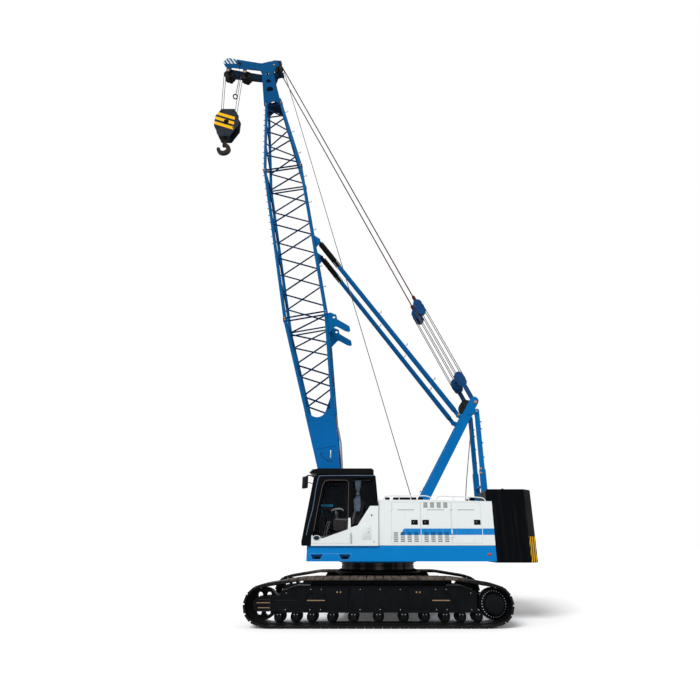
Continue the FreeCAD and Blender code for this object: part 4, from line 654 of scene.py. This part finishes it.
doorSpans = {"front": (-1.068, -0.338), "middle": (-1.844, -1.09), "rear": (-2.609, -1.866)}
latchPlaces = {"front": -0.92, "middle": -1.204, "rear": -2.505}
latch = dict(z=2.258, half=0.0825, tall=0.059)
groove = dict(low=2.549, top=2.563, half=0.215)
slots = dict(pitch=0.17, half=0.052, low=2.612, step=0.0265, high=0.015, rows=5)
for side, sign in bothSides:
    out = across * sign
    for name, (x0, x1) in doorSpans.items():
        leaf = "%s_door_%s" % (side, name)
        body = leaf + "_leaf"
        centre = (x0 + x1) / 2
        bm = bmesh.new()  # pressed groove below the top of the leaf, drawn as a thin grey strip of painted shade
        slab(bm, (centre - groove["half"], sign * 1.5992, groove["low"]),
             (centre + groove["half"], sign * 1.6022, groove["top"]), 0.0012)
        piece(bm, leaf + "_groove", "seam", body)
        if name == "middle":
            bm = bmesh.new()  # upper slots: thin slabs in painted shadow grey for the shade inside them
            for column in range(4):
                x = centre + (column - 1.5) * slots["pitch"]
                for row in range(slots["rows"]):
                    z = slots["low"] + row * slots["step"]
                    slab(bm, (x - slots["half"], sign * 1.599, z),
                         (x + slots["half"], sign * 1.6018, z + slots["high"]), 0.0008)
            piece(bm, leaf + "_upper_slots", "louvre", body)
        bm = bmesh.new()  # paddle latch in a black dish
        x, z = latchPlaces[name], latch["z"]
        slab(bm, (x - latch["half"], sign * 1.599, z - latch["tall"]),
             (x + latch["half"], sign * 1.606, z + latch["tall"]), 0.003)
        slab(bm, (x - 0.052, sign * 1.6055, z - 0.034), (x + 0.052, sign * 1.613, z + 0.03), 0.003)
        piece(bm, leaf + "_latch", "black", body)
        bm = bmesh.new()
        rod(bm, (x + 0.02, sign * 1.6125, z), (x + 0.02, sign * 1.6165, z), 0.013, edge=0.0015)
        piece(bm, leaf + "_lock", "bright", body)
        bm = bmesh.new()  # hinge pins
        post = -0.327 if name == "front" else -1.855
        x = post - 0.0095 if name != "middle" else post + 0.0095
        for z in (1.9, 2.56):
            rod(bm, (x, sign * 1.61, z - 0.006), (x, sign * 1.61, z + 0.1863), 0.0042, 10)
        piece(bm, leaf + "_hinge_pins", "bright", body)

    # Folded rim round the roof, and the joint between the housing and the deck.
    for name, finish, low, high, edge in (
            ("roof_rim", "housing", (-1.457, sign * 1.586, 2.786), (-0.012, sign * 1.6015, 2.803), 0.002),
            ("deck_joint", "seam", (-2.915, sign * 1.592, 1.7075), (-0.012, sign * 1.6025, 1.717), 0.001)):
        bm = bmesh.new()
        slab(bm, low, high, edge)
        piece(bm, "%s_%s" % (side, name), finish)

    bm = bmesh.new()  # oval marker lamp at the rear of the deck
    profile = [(0.0, 0.017), (0.036, 0.014), (0.052, 0.005), (0.055, 0.0)]
    oval(bm, (-2.755, sign * 1.6, 1.51), out, profile, 0.62, 28)
    piece(bm, side + "_marker_lamp", "lampRed")

# Roof rails with bent ends, and the low boxes between them.
rail = dict(
    y=1.5, radius=0.0135,
    runs=([(-0.13, 2.8), (-0.157, 2.85), (-0.21, 2.898), (-0.3, 2.909), (-1.118, 2.909), (-1.25, 2.905),
         (-1.36, 2.868), (-1.4, 2.8)],
        [(-1.49, 2.8), (-1.52, 2.85), (-1.58, 2.892), (-1.66, 2.9), (-2.2, 2.885), (-2.62, 2.868),
         (-2.74, 2.84), (-2.78, 2.772)]),
    posts=(-0.55, -0.85, -1.95, -2.35))
bm = bmesh.new()
for run in rail["runs"]:
    tube(bm, curved([(x, rail["y"], z) for x, z in run], 5), rail["radius"], 10)
for x in rail["posts"]:
    roof = 2.8 if x > -1.457 else 2.8 - 0.036 * (-1.457 - x) / 1.458
    rod(bm, (x, rail["y"], roof), (x, rail["y"], 2.905 if x > -1.4 else 2.885), 0.01, 10)
rails = piece(bm, "roof_hand_rails", "rails")
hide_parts("roof_rails")
roofBoxes = dict(
    spans=((-0.31, -0.19), (-0.85, -0.4), (-1.01, -0.88), (-1.18, -1.06)), y=(1.08, 1.36), top=2.884)
bm = bmesh.new()
for x0, x1 in roofBoxes["spans"]:
    slab(bm, (x0, roofBoxes["y"][0], 2.801), (x1, roofBoxes["y"][1], roofBoxes["top"]), 0.008)
piece(bm, "roof_air_boxes", "black")
print("housing details made")


# Deck steps and cab.

step = dict(
    shelf=1.522, start=0.655, end=1.68, wire=0.0055, face=1.6015,
    rims=([(0.66, 1.51), (0.72, 1.388), (0.916, 1.388), (0.976, 1.51)],
        [(1.359, 1.51), (1.419, 1.388), (1.615, 1.388), (1.675, 1.51)]),
    covers=([(0.976, 1.514), (0.916, 1.386), (1.419, 1.386), (1.359, 1.514)],
        [(0.686, 1.46), (0.686, 1.386), (0.72, 1.386)], [(1.615, 1.386), (1.664, 1.386), (1.664, 1.486)]))
bm = bmesh.new()
for sign in (1, -1):
    for outline in step["covers"]:
        plate(bm, outline, sign * 1.592, sign * 1.6012)
piece(bm, "step_covers", "platform")
# Light blue tubes along the step shelf and rims: a painted highlight on the step edges.
bm = bmesh.new()
for sign in (1, -1):
    y = sign * step["face"]
    rod(bm, (step["start"] - 0.02, y, step["shelf"]), (step["end"] + 0.02, y, step["shelf"]), step["wire"], 8)
    for rim in step["rims"]:
        tube(bm, [(x, y, z) for x, z in rim], step["wire"])
piece(bm, "step_edge_highlights", "stepHighlightBlue")
# Black slabs at the back of the step pockets: painted shade for the foot holes.
bm = bmesh.new()
for sign in (1, -1):
    for x in (0.818, 1.517):
        slab(bm, (x - 0.07, sign * 1.492, 1.405), (x + 0.07, sign * 1.497, 1.465), 0.003)
piece(bm, "step_foot_holes", "black")

moulding = dict(
    y=1.655, wire=0.011,
    path=[(1.79, 1.95), (1.735, 2.25), (1.655, 2.6), (1.6, 3.06), (1.555, 3.3), (1.535, 3.372), (1.48, 3.396),
        (1.2, 3.401), (0.7, 3.403), (0.11, 3.403)])
bm = bmesh.new()
tube(bm, curved([(x, moulding["y"], z) for x, z in moulding["path"]], 4), moulding["wire"])
piece(bm, "cab_edge_moulding", "edge")

seal = dict(
    y=1.6505, wire=0.0055,
    path=[(1.375, 1.893), (0.83, 2.07), (0.785, 2.1), (0.763, 2.16), (0.757, 2.3), (0.757, 3.18),
        (0.775, 3.255), (0.84, 3.288), (1.3, 3.288), (1.385, 3.262), (1.425, 3.18), (1.535, 2.6),
        (1.61, 2.05)])
bm = bmesh.new()  # rubber seal round the door's pane
tube(bm, [(x, seal["y"], z) for x, z in seal["path"]], seal["wire"])
piece(bm, "cab_door_seal", "seal", "cab_door_leaf")

bm = bmesh.new()  # grab bar beside the door
grip = [(1.65, 1.765), (1.672, 1.785), (1.676, 1.88), (1.672, 1.975), (1.65, 1.995)]
tube(bm, curved([(0.672, y, z) for y, z in grip], 5), 0.0115, 12)
piece(bm, "cab_grab_bar", "grey")

for name, finish, profile, flat in (
        ("surround", "rails", [(0.08, 0.0), (0.08, 0.006), (0.09, 0.009), (0.1, 0.006), (0.102, 0.0)], 0.64),
        ("dish", "latchBlue", [(0.0, 0.003), (0.062, 0.003), (0.074, 0.006), (0.08, 0.005), (0.08, 0.0)],
         0.62)):
    bm = bmesh.new()
    oval(bm, (1.532, 1.65, 1.886), across, profile, flat, 40)
    piece(bm, "cab_door_latch_" + name, finish, "cab_door_leaf")
bm = bmesh.new()
slab(bm, (1.495, 1.652, 1.878), (1.569, 1.664, 1.896), 0.004)
piece(bm, "cab_door_latch_paddle", "blackRubber", "cab_door_leaf")

bm = bmesh.new()  # ribbed panel on the white quarter, then its locks
slab(bm, (0.168, 1.646, 1.845), (0.412, 1.6535, 2.195), 0.003)
for i in range(5):
    tube(bm, [(0.385 - i * 0.03, 1.6535, 1.9 + i * 0.052), (0.235 - i * 0.012, 1.6535, 1.95 + i * 0.045)],
         0.006)
piece(bm, "cab_quarter_panel", "cabWhite")
bm = bmesh.new()
for x, z, r in ((0.161, 2.425, 0.02), (0.232, 2.02, 0.014), (0.105, 1.8, 0.013)):
    rod(bm, (x, 1.648, z), (x, 1.6545, z), r, 18, edge=0.0015)
piece(bm, "cab_quarter_locks", "black")

mirror = dict(at=(1.872, 1.775, 3.215), turn=radians(42), half=(0.024, 0.112, 0.152))
bm = bmesh.new()
spot = Matrix.Translation(mirror["at"]) @ Matrix.Rotation(mirror["turn"], 4, "Z")
hx, hy, hz = mirror["half"]
slab(bm, (-hx, -hy, -hz), (hx, hy, hz), 0.022, spot)
tube(bm, curved([(1.672, 1.64, 3.36), (1.74, 1.655, 3.4), (1.83, 1.7, 3.395), (1.868, 1.76, 3.34)], 5), 0.014,
     10)
tube(bm, curved([(1.69, 1.64, 3.2), (1.76, 1.675, 3.215), (1.84, 1.74, 3.22)], 5), 0.01, 10)
mirrorBody = piece(bm, "mirror_housing", "black")
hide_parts("cab_mirror")
bm = bmesh.new()
slab(bm, (-hx - 0.002, -hy + 0.014, -hz + 0.014), (-hx + 0.003, hy - 0.014, hz - 0.014), 0.001, spot)
piece(bm, "mirror_glass", "bright")

bm = bmesh.new()  # roof lamps under the guard's front edge
for x, y in ((1.7, 0.86), (1.7, 1.49)):
    turned(bm, (x, y, 3.535), (1, 0, 0.15),
           [(0.0, 0.062), (0.05, 0.058), (0.062, 0.045), (0.056, 0.0), (0.03, -0.05), (0.0, -0.055)], 24)
piece(bm, "cab_work_lamps", "lampClear")

panes = dict(
    thick=0.006, windscreen=((1.826, 1.9), (1.612, 3.31), 0.757, 1.593),
    rear=((0.052, 2.745), (0.108, 3.295), 0.802, 1.548))
for name in ("windscreen", "rear"):
    (x0, z0), (x1, z1), y0, y1 = panes[name]
    bm = bmesh.new()
    plate(bm, [(x0, z0), (x0 + panes["thick"], z0), (x1 + panes["thick"], z1), (x1, z1)], y0, y1)
    piece(bm, "cab_%s_pane" % name, "glassFront")

bm = bmesh.new()  # wiper on the windscreen
tube(bm, curved([(1.868, 1.05, 2.02), (1.836, 1.12, 2.3), (1.794, 1.3, 2.62)], 6), 0.008)
tube(bm, [(1.824, 1.18, 2.38), (1.768, 1.4, 2.84)], 0.01)
piece(bm, "windscreen_wiper", "black")

# Seat pads, console, levers and curtain inside the cab.
seatMid = 1.175
upright = Matrix.Translation((0, seatMid, 0))
lean = Matrix.Translation((0.585, seatMid, 2.52)) @ Matrix.Rotation(radians(-13.2), 4, "Y")
for name, low, high, edge, base in (
        ("seat_cushion", (0.615, -0.235, 2.186), (1.035, 0.235, 2.262), 0.028, upright),
        ("seat_back_pad", (-0.03, -0.235, -0.29), (0.04, 0.235, 0.27), 0.028, lean),
        ("seat_head_pad", (-0.028, -0.13, 0.3), (0.034, 0.13, 0.44), 0.024, lean)):
    bm = bmesh.new()
    slab(bm, low, high, edge, base)
    pad = piece(bm, name, "seatCloth")
for y in (seatMid - 0.33, seatMid + 0.33):
    bm = bmesh.new()
    slab(bm, (0.74, y - 0.055, 2.303), (1.1, y + 0.055, 2.345), 0.016)
    arm = piece(bm, "arm_pad_" + ("left" if y > seatMid else "right"), "trim")

console = dict(levers=((1.06, 1.44), (1.06, 0.91), (1.3, 1.3), (1.36, 1.2), (1.3, 1.05)))
bm = bmesh.new()
for x, y in console["levers"][:2]:
    rod(bm, (x, y, 2.31), (x + 0.02, y, 2.46), 0.01, 10)
    turned(bm, (x + 0.02, y, 2.45), (0.1, 0, 1),
           [(0.0, 0.0), (0.02, 0.004), (0.027, 0.05), (0.022, 0.1), (0.0, 0.115)], 16)
for x, y in console["levers"][2:]:
    tube(bm, curved([(x, y, 1.775), (x + 0.03, y, 2.0), (x - 0.04, y, 2.26)], 5), 0.011)
    turned(bm, (x - 0.04, y, 2.25), (-0.2, 0, 1), [(0.0, 0.0), (0.018, 0.003), (0.022, 0.04), (0.0, 0.055)],
           16)
piece(bm, "cab_levers", "trim")
bm = bmesh.new()
slab(bm, (1.4, 0.84, 2.02), (1.52, 1.2, 2.46), 0.02)
slab(bm, (1.16, 1.2, 2.575), (1.515, 1.24, 2.63), 0.01)
tube(bm, [(1.47, 1.02, 2.44), (1.4, 1.2, 2.6)], 0.014, 10)
piece(bm, "cab_console", "trimDark")
bm = bmesh.new()
slab(bm, (1.182, 1.205, 2.652), (1.499, 1.225, 2.722), 0.006)
slab(bm, (1.465, 0.9, 2.48), (1.48, 1.14, 2.64), 0.004)
piece(bm, "cab_display", "screen")
bm = bmesh.new()
tube(bm, curved([(1.22, 1.24, 2.555), (1.12, 1.25, 2.6), (0.98, 1.25, 2.61), (0.9, 1.25, 2.56)], 5), 0.016,
     10)
slab(bm, (0.93, 1.235, 2.585), (1.12, 1.262, 2.612), 0.006)
piece(bm, "cab_document_tray", "rails")

curtain = dict(
    flat=(0.62, 0.76), top=3.286, rail=3.296, folds=7, y=1.555,
    rows=[(3.286, 0.44, 0.6), (3.13, 0.455, 0.585), (2.985, 0.486, 0.545), (2.93, 0.484, 0.55),
        (2.8, 0.452, 0.628), (2.66, 0.448, 0.622), (2.526, 0.462, 0.6)])


def gatheredRow(y, x0, x1, width, folds, cuts):
    # Folded line between two ends whose length stays that of the flat cloth.
    def path(deep):
        shares = [k / cuts for k in range(cuts + 1)]
        return [Vector((x0 + (x1 - x0) * t, y + deep * sin(2 * pi * folds * t), 0)) for t in shares]
    low, high = 0.0, 0.2
    for _ in range(30):
        deep = (low + high) / 2
        long = sum((b - a).length for a, b in zip(path(deep), path(deep)[1:]))
        low, high = (deep, high) if long < width else (low, deep)
    return path(deep)


bm = bmesh.new()
cuts, steps = 84, 30
grid = []
for i in range(steps + 1):
    z = curtain["top"] + (curtain["rows"][-1][0] - curtain["top"]) * i / steps
    for (za, a0, a1), (zb, b0, b1) in zip(curtain["rows"], curtain["rows"][1:]):
        if zb - 1e-6 <= z <= za + 1e-6:
            share = (za - z) / (za - zb)
            share = share * share * (3 - 2 * share)
            x0, x1 = a0 + (b0 - a0) * share, a1 + (b1 - a1) * share
    row = gatheredRow(curtain["y"], x0, x1, curtain["flat"][0], curtain["folds"], cuts)
    grid.append([bm.verts.new((p.x, p.y, z)) for p in row])
for low, high in zip(grid, grid[1:]):
    for k in range(cuts):
        bm.faces.new((low[k], low[k + 1], high[k + 1], high[k]))
cloth = piece(bm, "cab_curtain", "curtain", smooth=80)
bm = bmesh.new()
rod(bm, (0.2, curtain["y"], curtain["rail"]), (0.68, curtain["y"], curtain["rail"]), 0.008, 12)
for k in range(8):
    hoop(bm, (0.45 + k * 0.02, curtain["y"], curtain["rail"]), (1, 0, 0), 0.0115, 0.0018, 12, 6)
piece(bm, "cab_curtain_rail", "bright")
bm = bmesh.new()
hoop(bm, (0.516, curtain["y"], 2.955), (0, 0, 1), 0.045, 0.006, 20, 8)
piece(bm, "cab_curtain_tie", "rails")
print("cab details made")


# Counterweight: lifting eyes, seams between the stacked weights.

weightTrim = dict(eyes=((-3.45, 2.82), (-3.36, 2.3), (-3.42, 1.66)), seam=2.42, front=-2.93, rear=-3.775)
bm = bmesh.new()
for sign in (1, -1):
    for x, z in weightTrim["eyes"]:
        hoop(bm, (x, sign * 1.564, z), (0, sign, 0), 0.045, 0.008, 20, 8, pi)
    slab(bm, (weightTrim["rear"], sign * 1.558, weightTrim["seam"]),
         (weightTrim["front"], sign * 1.5625, weightTrim["seam"] + 0.008), 0.001)
for x, y in ((-3.35, 1.1), (-3.35, -1.1), (-3.8, 0.95), (-3.8, -0.95)):
    hoop(bm, (x, y, 3.066), (0, 1, 0), 0.055, 0.014, 20, 8, pi)
piece(bm, "counterweight_eyes", "black")
print("counterweight details made")


# Wire ropes that change length or bend are laid between their sheaves.

ropeRadius = 0.0125


def laidRope(bm, start, end, cuts):
    start, end = Vector(start), Vector(end)
    tube(bm, [start.lerp(end, i / cuts) for i in range(cuts + 1)], ropeRadius)


gantryPin = Vector((-2.92, 0, 5.74))
stayEye = onBoom(18.821, 0, -0.495)
stay = dict(low=0.82, high=3.58, reach=0.1523, sides=(0.35, 0.19), way=(stayEye - gantryPin).normalized())
stay["normal"] = Vector((stay["way"].z, 0, -stay["way"].x))


def onStay(distance, side):
    return gantryPin + stay["way"] * distance + across * side


bm = bmesh.new()
for sign in (1, -1):
    for y in stay["sides"]:
        for out in (1, -1):
            shift = stay["normal"] * out * stay["reach"]
            start, end = [onStay(stay[key], sign * y) + shift for key in ("low", "high")]
            laidRope(bm, start, end, 10)
luffing = piece(bm, "luffing_tackle_ropes", "rope", None)
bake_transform(luffing)
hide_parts("luffing_ropes")

fall = dict(side=0.11, top=20.1, low=17.35, ends=((6.4083, 6.2433), (5.6883, 5.7267)))
bm = bmesh.new()
for y in (fall["side"], -fall["side"]):
    for upper, lower in fall["ends"]:
        laidRope(bm, (lower, y, fall["low"]), (upper, y, fall["top"]), 8)
falls = piece(bm, "hook_fall_ropes", "rope", None)
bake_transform(falls)
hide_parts("hook_falls")

hoist = dict(drum=Vector((-1.1, 0.0, 2.565)), head=Vector((3.985, 0.0, 20.62)), bend=5.0)
bm = bmesh.new()
laidRope(bm, hoist["drum"], hoist["head"], 44)
rising = piece(bm, "hoist_line", "rope", None)
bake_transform(rising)

bm = bmesh.new()
lead = [(-2.5, 2.42), (-2.53, 2.8), (-2.62, 3.55), (-2.86, 5.05), (-2.93, 5.5)]
tube(bm, curved([(x, 0.0, z) for x, z in lead], 6), ropeRadius)
piece(bm, "luffing_lead_rope", "rope")
print("ropes laid")


# Boom: joint pins, pegs, angle scale and hose.

bm = bmesh.new()
for along in boomForm["joints"][1:]:
    d, w = chordAt(along)
    for sign in (1, -1):
        for front in (d, -d):
            for shift in (-0.035, 0.035):
                start, end = [onBoom(along + shift, sign * (w + step), front) for step in (-0.085, 0.085)]
                rod(bm, start, end, 0.02, 14, 0.003)
piece(bm, "boom_joint_pins", "brass", "boom")

bm = bmesh.new()  # pins at the boom's foot
for sign in (1, -1):
    rod(bm, onBoom(0, sign * 0.5, 0), onBoom(0, sign * 0.66, 0), 0.058, 28, edge=0.006)
piece(bm, "boom_foot_pins", "brass", "boom")

peg = dict(first=9.6, last=16.3, step=0.3, reach=0.115)
bm = bmesh.new()  # climbing pegs on the chords
for i in range(int((peg["last"] - peg["first"]) / peg["step"]) + 1):
    along = peg["first"] + i * peg["step"]
    d, w = chordAt(along)
    rod(bm, onBoom(along, w, d + 0.045), onBoom(along, w, d + 0.045 + peg["reach"] * 0.5), 0.011, 8)
    if i % 4 == 1:
        tube(bm, [onBoom(along, w, -d - 0.045), onBoom(along, w, -d - 0.045 - peg["reach"]),
                  onBoom(along + 0.05, w, -d - 0.045 - peg["reach"])], 0.01)
for along in (5.9, 6.3, 7.6, 8.4):
    d, w = chordAt(along)
    tube(bm, [onBoom(along, w, -d - 0.045), onBoom(along, w, -d - 0.14), onBoom(along + 0.04, w, -d - 0.14)],
         0.012)
piece(bm, "boom_pegs", "black", "boom")

scale = dict(path=[(1.637, 4.186), (1.602, 4.103), (1.527, 4.019), (1.425, 3.954), (1.28, 3.945)], y=0.6265)
bm = bmesh.new()  # curved angle scale and its hanging pointer on the left foot plate
tube(bm, curved([(x, scale["y"], z) for x, z in scale["path"]], 6), 0.0085)
tube(bm, [(1.376, scale["y"], 4.27), (1.348, scale["y"], 4.02)], 0.006)
piece(bm, "boom_angle_scale", "hookIron", "boom")
bm = bmesh.new()
slab(bm, (1.33, 0.6245, 4.03), (1.362, 0.628, 4.25), 0.001)
piece(bm, "boom_blank_plate", "rails", "boom")
bm = bmesh.new()
for y in (0.6255, -0.6255):
    tube(bm, [(1.767, y, 4.274), (1.196, y, 4.375)], 0.005)
piece(bm, "boom_foot_weld", "darkBlue", "boom")

hose = dict(
    radius=0.026,
    path=[(1.215, 0.5, 5.3), (1.194, 0.51, 5.02), (1.15, 0.53, 4.87), (1.093, 0.54, 4.6), (1.061, 0.54, 4.43),
        (1.03, 0.54, 4.05), (1.012, 0.54, 3.8), (0.985, 0.52, 3.2), (0.95, 0.5, 2.7), (0.9, 0.46, 2.2)])
bm = bmesh.new()
tube(bm, curved(hose["path"], 5), hose["radius"], 10)
piece(bm, "boom_hose_sleeve", "hose", "boom")
print("boom details made")


# Head and hook block: pin ends, limit switch, ring weight on its chain, hub caps.

bm = bmesh.new()
pins(bm, ((4.411, 20.62, 0.036), (4.3, 20.42, 0.036), (5.774, 20.43, 0.03), (6.2, 20.1, 0.055),
          (5.48, 20.02, 0.055)), 0.284, 0.304, 18, 0.004)
piece(bm, "head_pin_ends", "brass", "boom")

bm = bmesh.new()  # limit switch on the left side plate
slab(bm, (5.7, 0.287, 20.42), (5.82, 0.312, 20.56), 0.004)
tube(bm, curved([(5.75, 0.3, 20.43), (5.74, 0.29, 20.24), (5.737, 0.2, 20.12), (5.737, 0.11, 20.06)], 5),
     0.008)
piece(bm, "overhoist_switch", "black", "boom")

overhoist = dict(
    ring=(5.8, 0.11, 18.8), chainTop=Vector((5.737, 0.11, 20.06)), chainLow=Vector((5.79, 0.11, 18.91)),
    links=26)
bm = bmesh.new()  # ring weight of the overhoist stop
hoop(bm, overhoist["ring"], (0.1, 0.75, -0.65), 0.085, 0.024, 28, 10)
piece(bm, "overhoist_ring", "black", "hoist_falls")
bm = bmesh.new()
for i in range(overhoist["links"]):
    at = overhoist["chainLow"].lerp(overhoist["chainTop"], i / (overhoist["links"] - 1))
    hoop(bm, at, (1, 0, 0) if i % 2 else (0, 1, 0), 0.021, 0.006, 10, 6)
piece(bm, "overhoist_chain", "black", "hoist_falls")

bm = bmesh.new()  # hub caps and bolts on the block's cheeks
for sign in (1, -1):
    out = across * sign
    turned(bm, (block["x"], sign * 0.19, block["sheave"]), out,
           [(0.0, 0.036), (0.055, 0.036), (0.072, 0.026), (0.098, 0.016), (0.105, 0.0)], 28)
    boltRing(bm, (block["x"], sign * 0.204, block["sheave"]), out, 0.085, 6, 0.009)
    for x, z in ((-0.22, 17.9), (0.22, 17.9), (-0.3, 17.02), (0.3, 17.02), (0.0, 16.72)):
        bolt(bm, (block["x"] + x, sign * 0.19, z), out, 0.022)
piece(bm, "hook_block_hubs", "black", "hook_gear")
print("head details made")


# Gantry and backstops.

bm = bmesh.new()
pins(bm, ((-2.935, 5.695, 0.045), (-2.404, 5.306, 0.03)), 0.556, 0.59, 20, 0.005)
pins(bm, ((-2.954, 5.428, 0.03), (-2.94, 3.744, 0.03), (-2.93, 3.624, 0.03)), 0.546, 0.566, 18, 0.004)
piece(bm, "gantry_pin_ends", "brass")

bm = bmesh.new()  # rungs on the rear links and a lug on each strut
for sign in (1, -1):
    for z in (4.07, 4.48, 4.89, 5.1):
        rod(bm, (-3.02, sign * 0.535, z), (-3.075, sign * 0.535, z), 0.017, 10)
    tube(bm, [(-1.27, sign * 0.52, 3.195), (-1.31, sign * 0.52, 3.235), (-1.33, sign * 0.52, 3.215)], 0.012)
piece(bm, "gantry_pegs", "gantry")

stopFoot, stopEye = Vector((-2.404, 0, 5.306)), onBoom(9.45, 0, -0.83)
stop = dict(
    way=(stopEye - stopFoot).normalized(), length=(stopEye - stopFoot).length, side=0.5, tubeEnd=6.3,
    coil=0.089, wire=0.0105, pitch=0.046, sides=12)
stopNormal = Vector((-stop["way"].z, 0, stop["way"].x))
bm = bmesh.new()  # pegs along the backstop tubes
for sign in (1, -1):
    for along in (1.3, 2.7, 4.1):
        at = stopFoot + stop["way"] * along + across * sign * stop["side"]
        tip = at + stopNormal * 0.168 + stop["way"] * 0.05
        tube(bm, [at + stopNormal * 0.06, at + stopNormal * 0.165, tip], 0.011)
piece(bm, "backstop_pegs", "black", "backstop_barrels")
bm = bmesh.new()  # coils of the backstop springs
for sign in (1, -1):
    start, end = stop["tubeEnd"] + 0.02, stop["length"] - 0.13
    count = int((end - start) / stop["pitch"] * stop["sides"])
    path = []
    for i in range(count + 1):
        turn = 2 * pi * i / stop["sides"]
        axis = stopFoot + stop["way"] * (start + (end - start) * i / count) + across * sign * stop["side"]
        path.append(axis + (across * cos(turn) + stopNormal * sin(turn)) * stop["coil"])
    tube(bm, path, stop["wire"], 6)
piece(bm, "backstop_coils", "black", "backstop_plungers")

bm = bmesh.new()  # shackles at the pendants' lower sockets
for sign in (1, -1):
    at = onStay(3.875, sign * 0.333)
    turned(bm, at - across * 0.036, (0, 1, 0), [(0.0, 0.0), (0.034, 0.0), (0.034, 0.072), (0.0, 0.072)], 16)
piece(bm, "pendant_shackles", "hookIron", "stay_upper")
print("gantry details made")


# Light, floor and camera.

light = dict(world=0.52, sun=2.5, turn=(48, 0, 152), softness=28)
world = bpy.data.worlds.new("studio")
bpy.context.scene.world = world
world.use_nodes = True
c = Coat("studio", world.node_tree)
seen = [c.node("LightPath", outlet=kind)
        for kind in ("Is Camera Ray", "Is Transmission Ray", "Is Glossy Ray")]
glow, backdrop = [c.node("Background", None, {"Color": (1, 1, 1, 1), "Strength": level})
                  for level in (light["world"], 1.0)]
sky = c.node("MixShader", None, {0: seen[0].most(seen[1]).most(seen[2]), 1: glow, 2: backdrop})
c.node("OutputWorld", None, {"Surface": sky})

lamp = bpy.data.lights.new("sun", "SUN")
lamp.energy = light["sun"]
lamp.angle = radians(light["softness"])
sun = placed("sun", lamp)
sun.rotation_euler = [radians(v) for v in light["turn"]]
sun.visible_glossy = False

bm = bmesh.new()
bmesh.ops.create_grid(bm, x_segments=1, y_segments=1, size=300.0)
bmesh.ops.translate(bm, verts=bm.verts, vec=(0, 0, -0.002))
floor = built(bm, "floor")
c = Coat("pale_floor")
straight = c.node("LightPath")
lit = c.mix(c.noise(0.4) * 0.1, (1.0, 1.0, 1.0, 1), (0.985, 0.985, 0.985, 1))
emitted = {"Emission Color": c.mix(straight, (0, 0, 0, 1), (0.06, 0.06, 0.06, 1)), "Emission Strength": 1.0}
grey = c.mix(straight, (0.5, 0.5, 0.5, 1), lit)
floor.data.materials.append(c.surface(grey, 0.95, gloss=0.0, extra=emitted))
floor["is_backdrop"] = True

view = dict(at=(0.106, 14.507, 1.697), pitch=22.167, lens=24.77, shift=-0.0341)
lens = bpy.data.cameras.new("camera")
lens.lens = view["lens"]
lens.sensor_width = 36
lens.shift_x = view["shift"]
lens.clip_end = 500
camera = placed("camera", lens)
camera.location = view["at"]
camera.rotation_euler = (radians(90 + view["pitch"]), 0, radians(180))
bpy.context.scene.camera = camera
bpy.context.scene.view_settings.view_transform = "Standard"
print("stage set")

low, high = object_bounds()
print("bounds", [round(v, 3) for v in (*low, *high)])
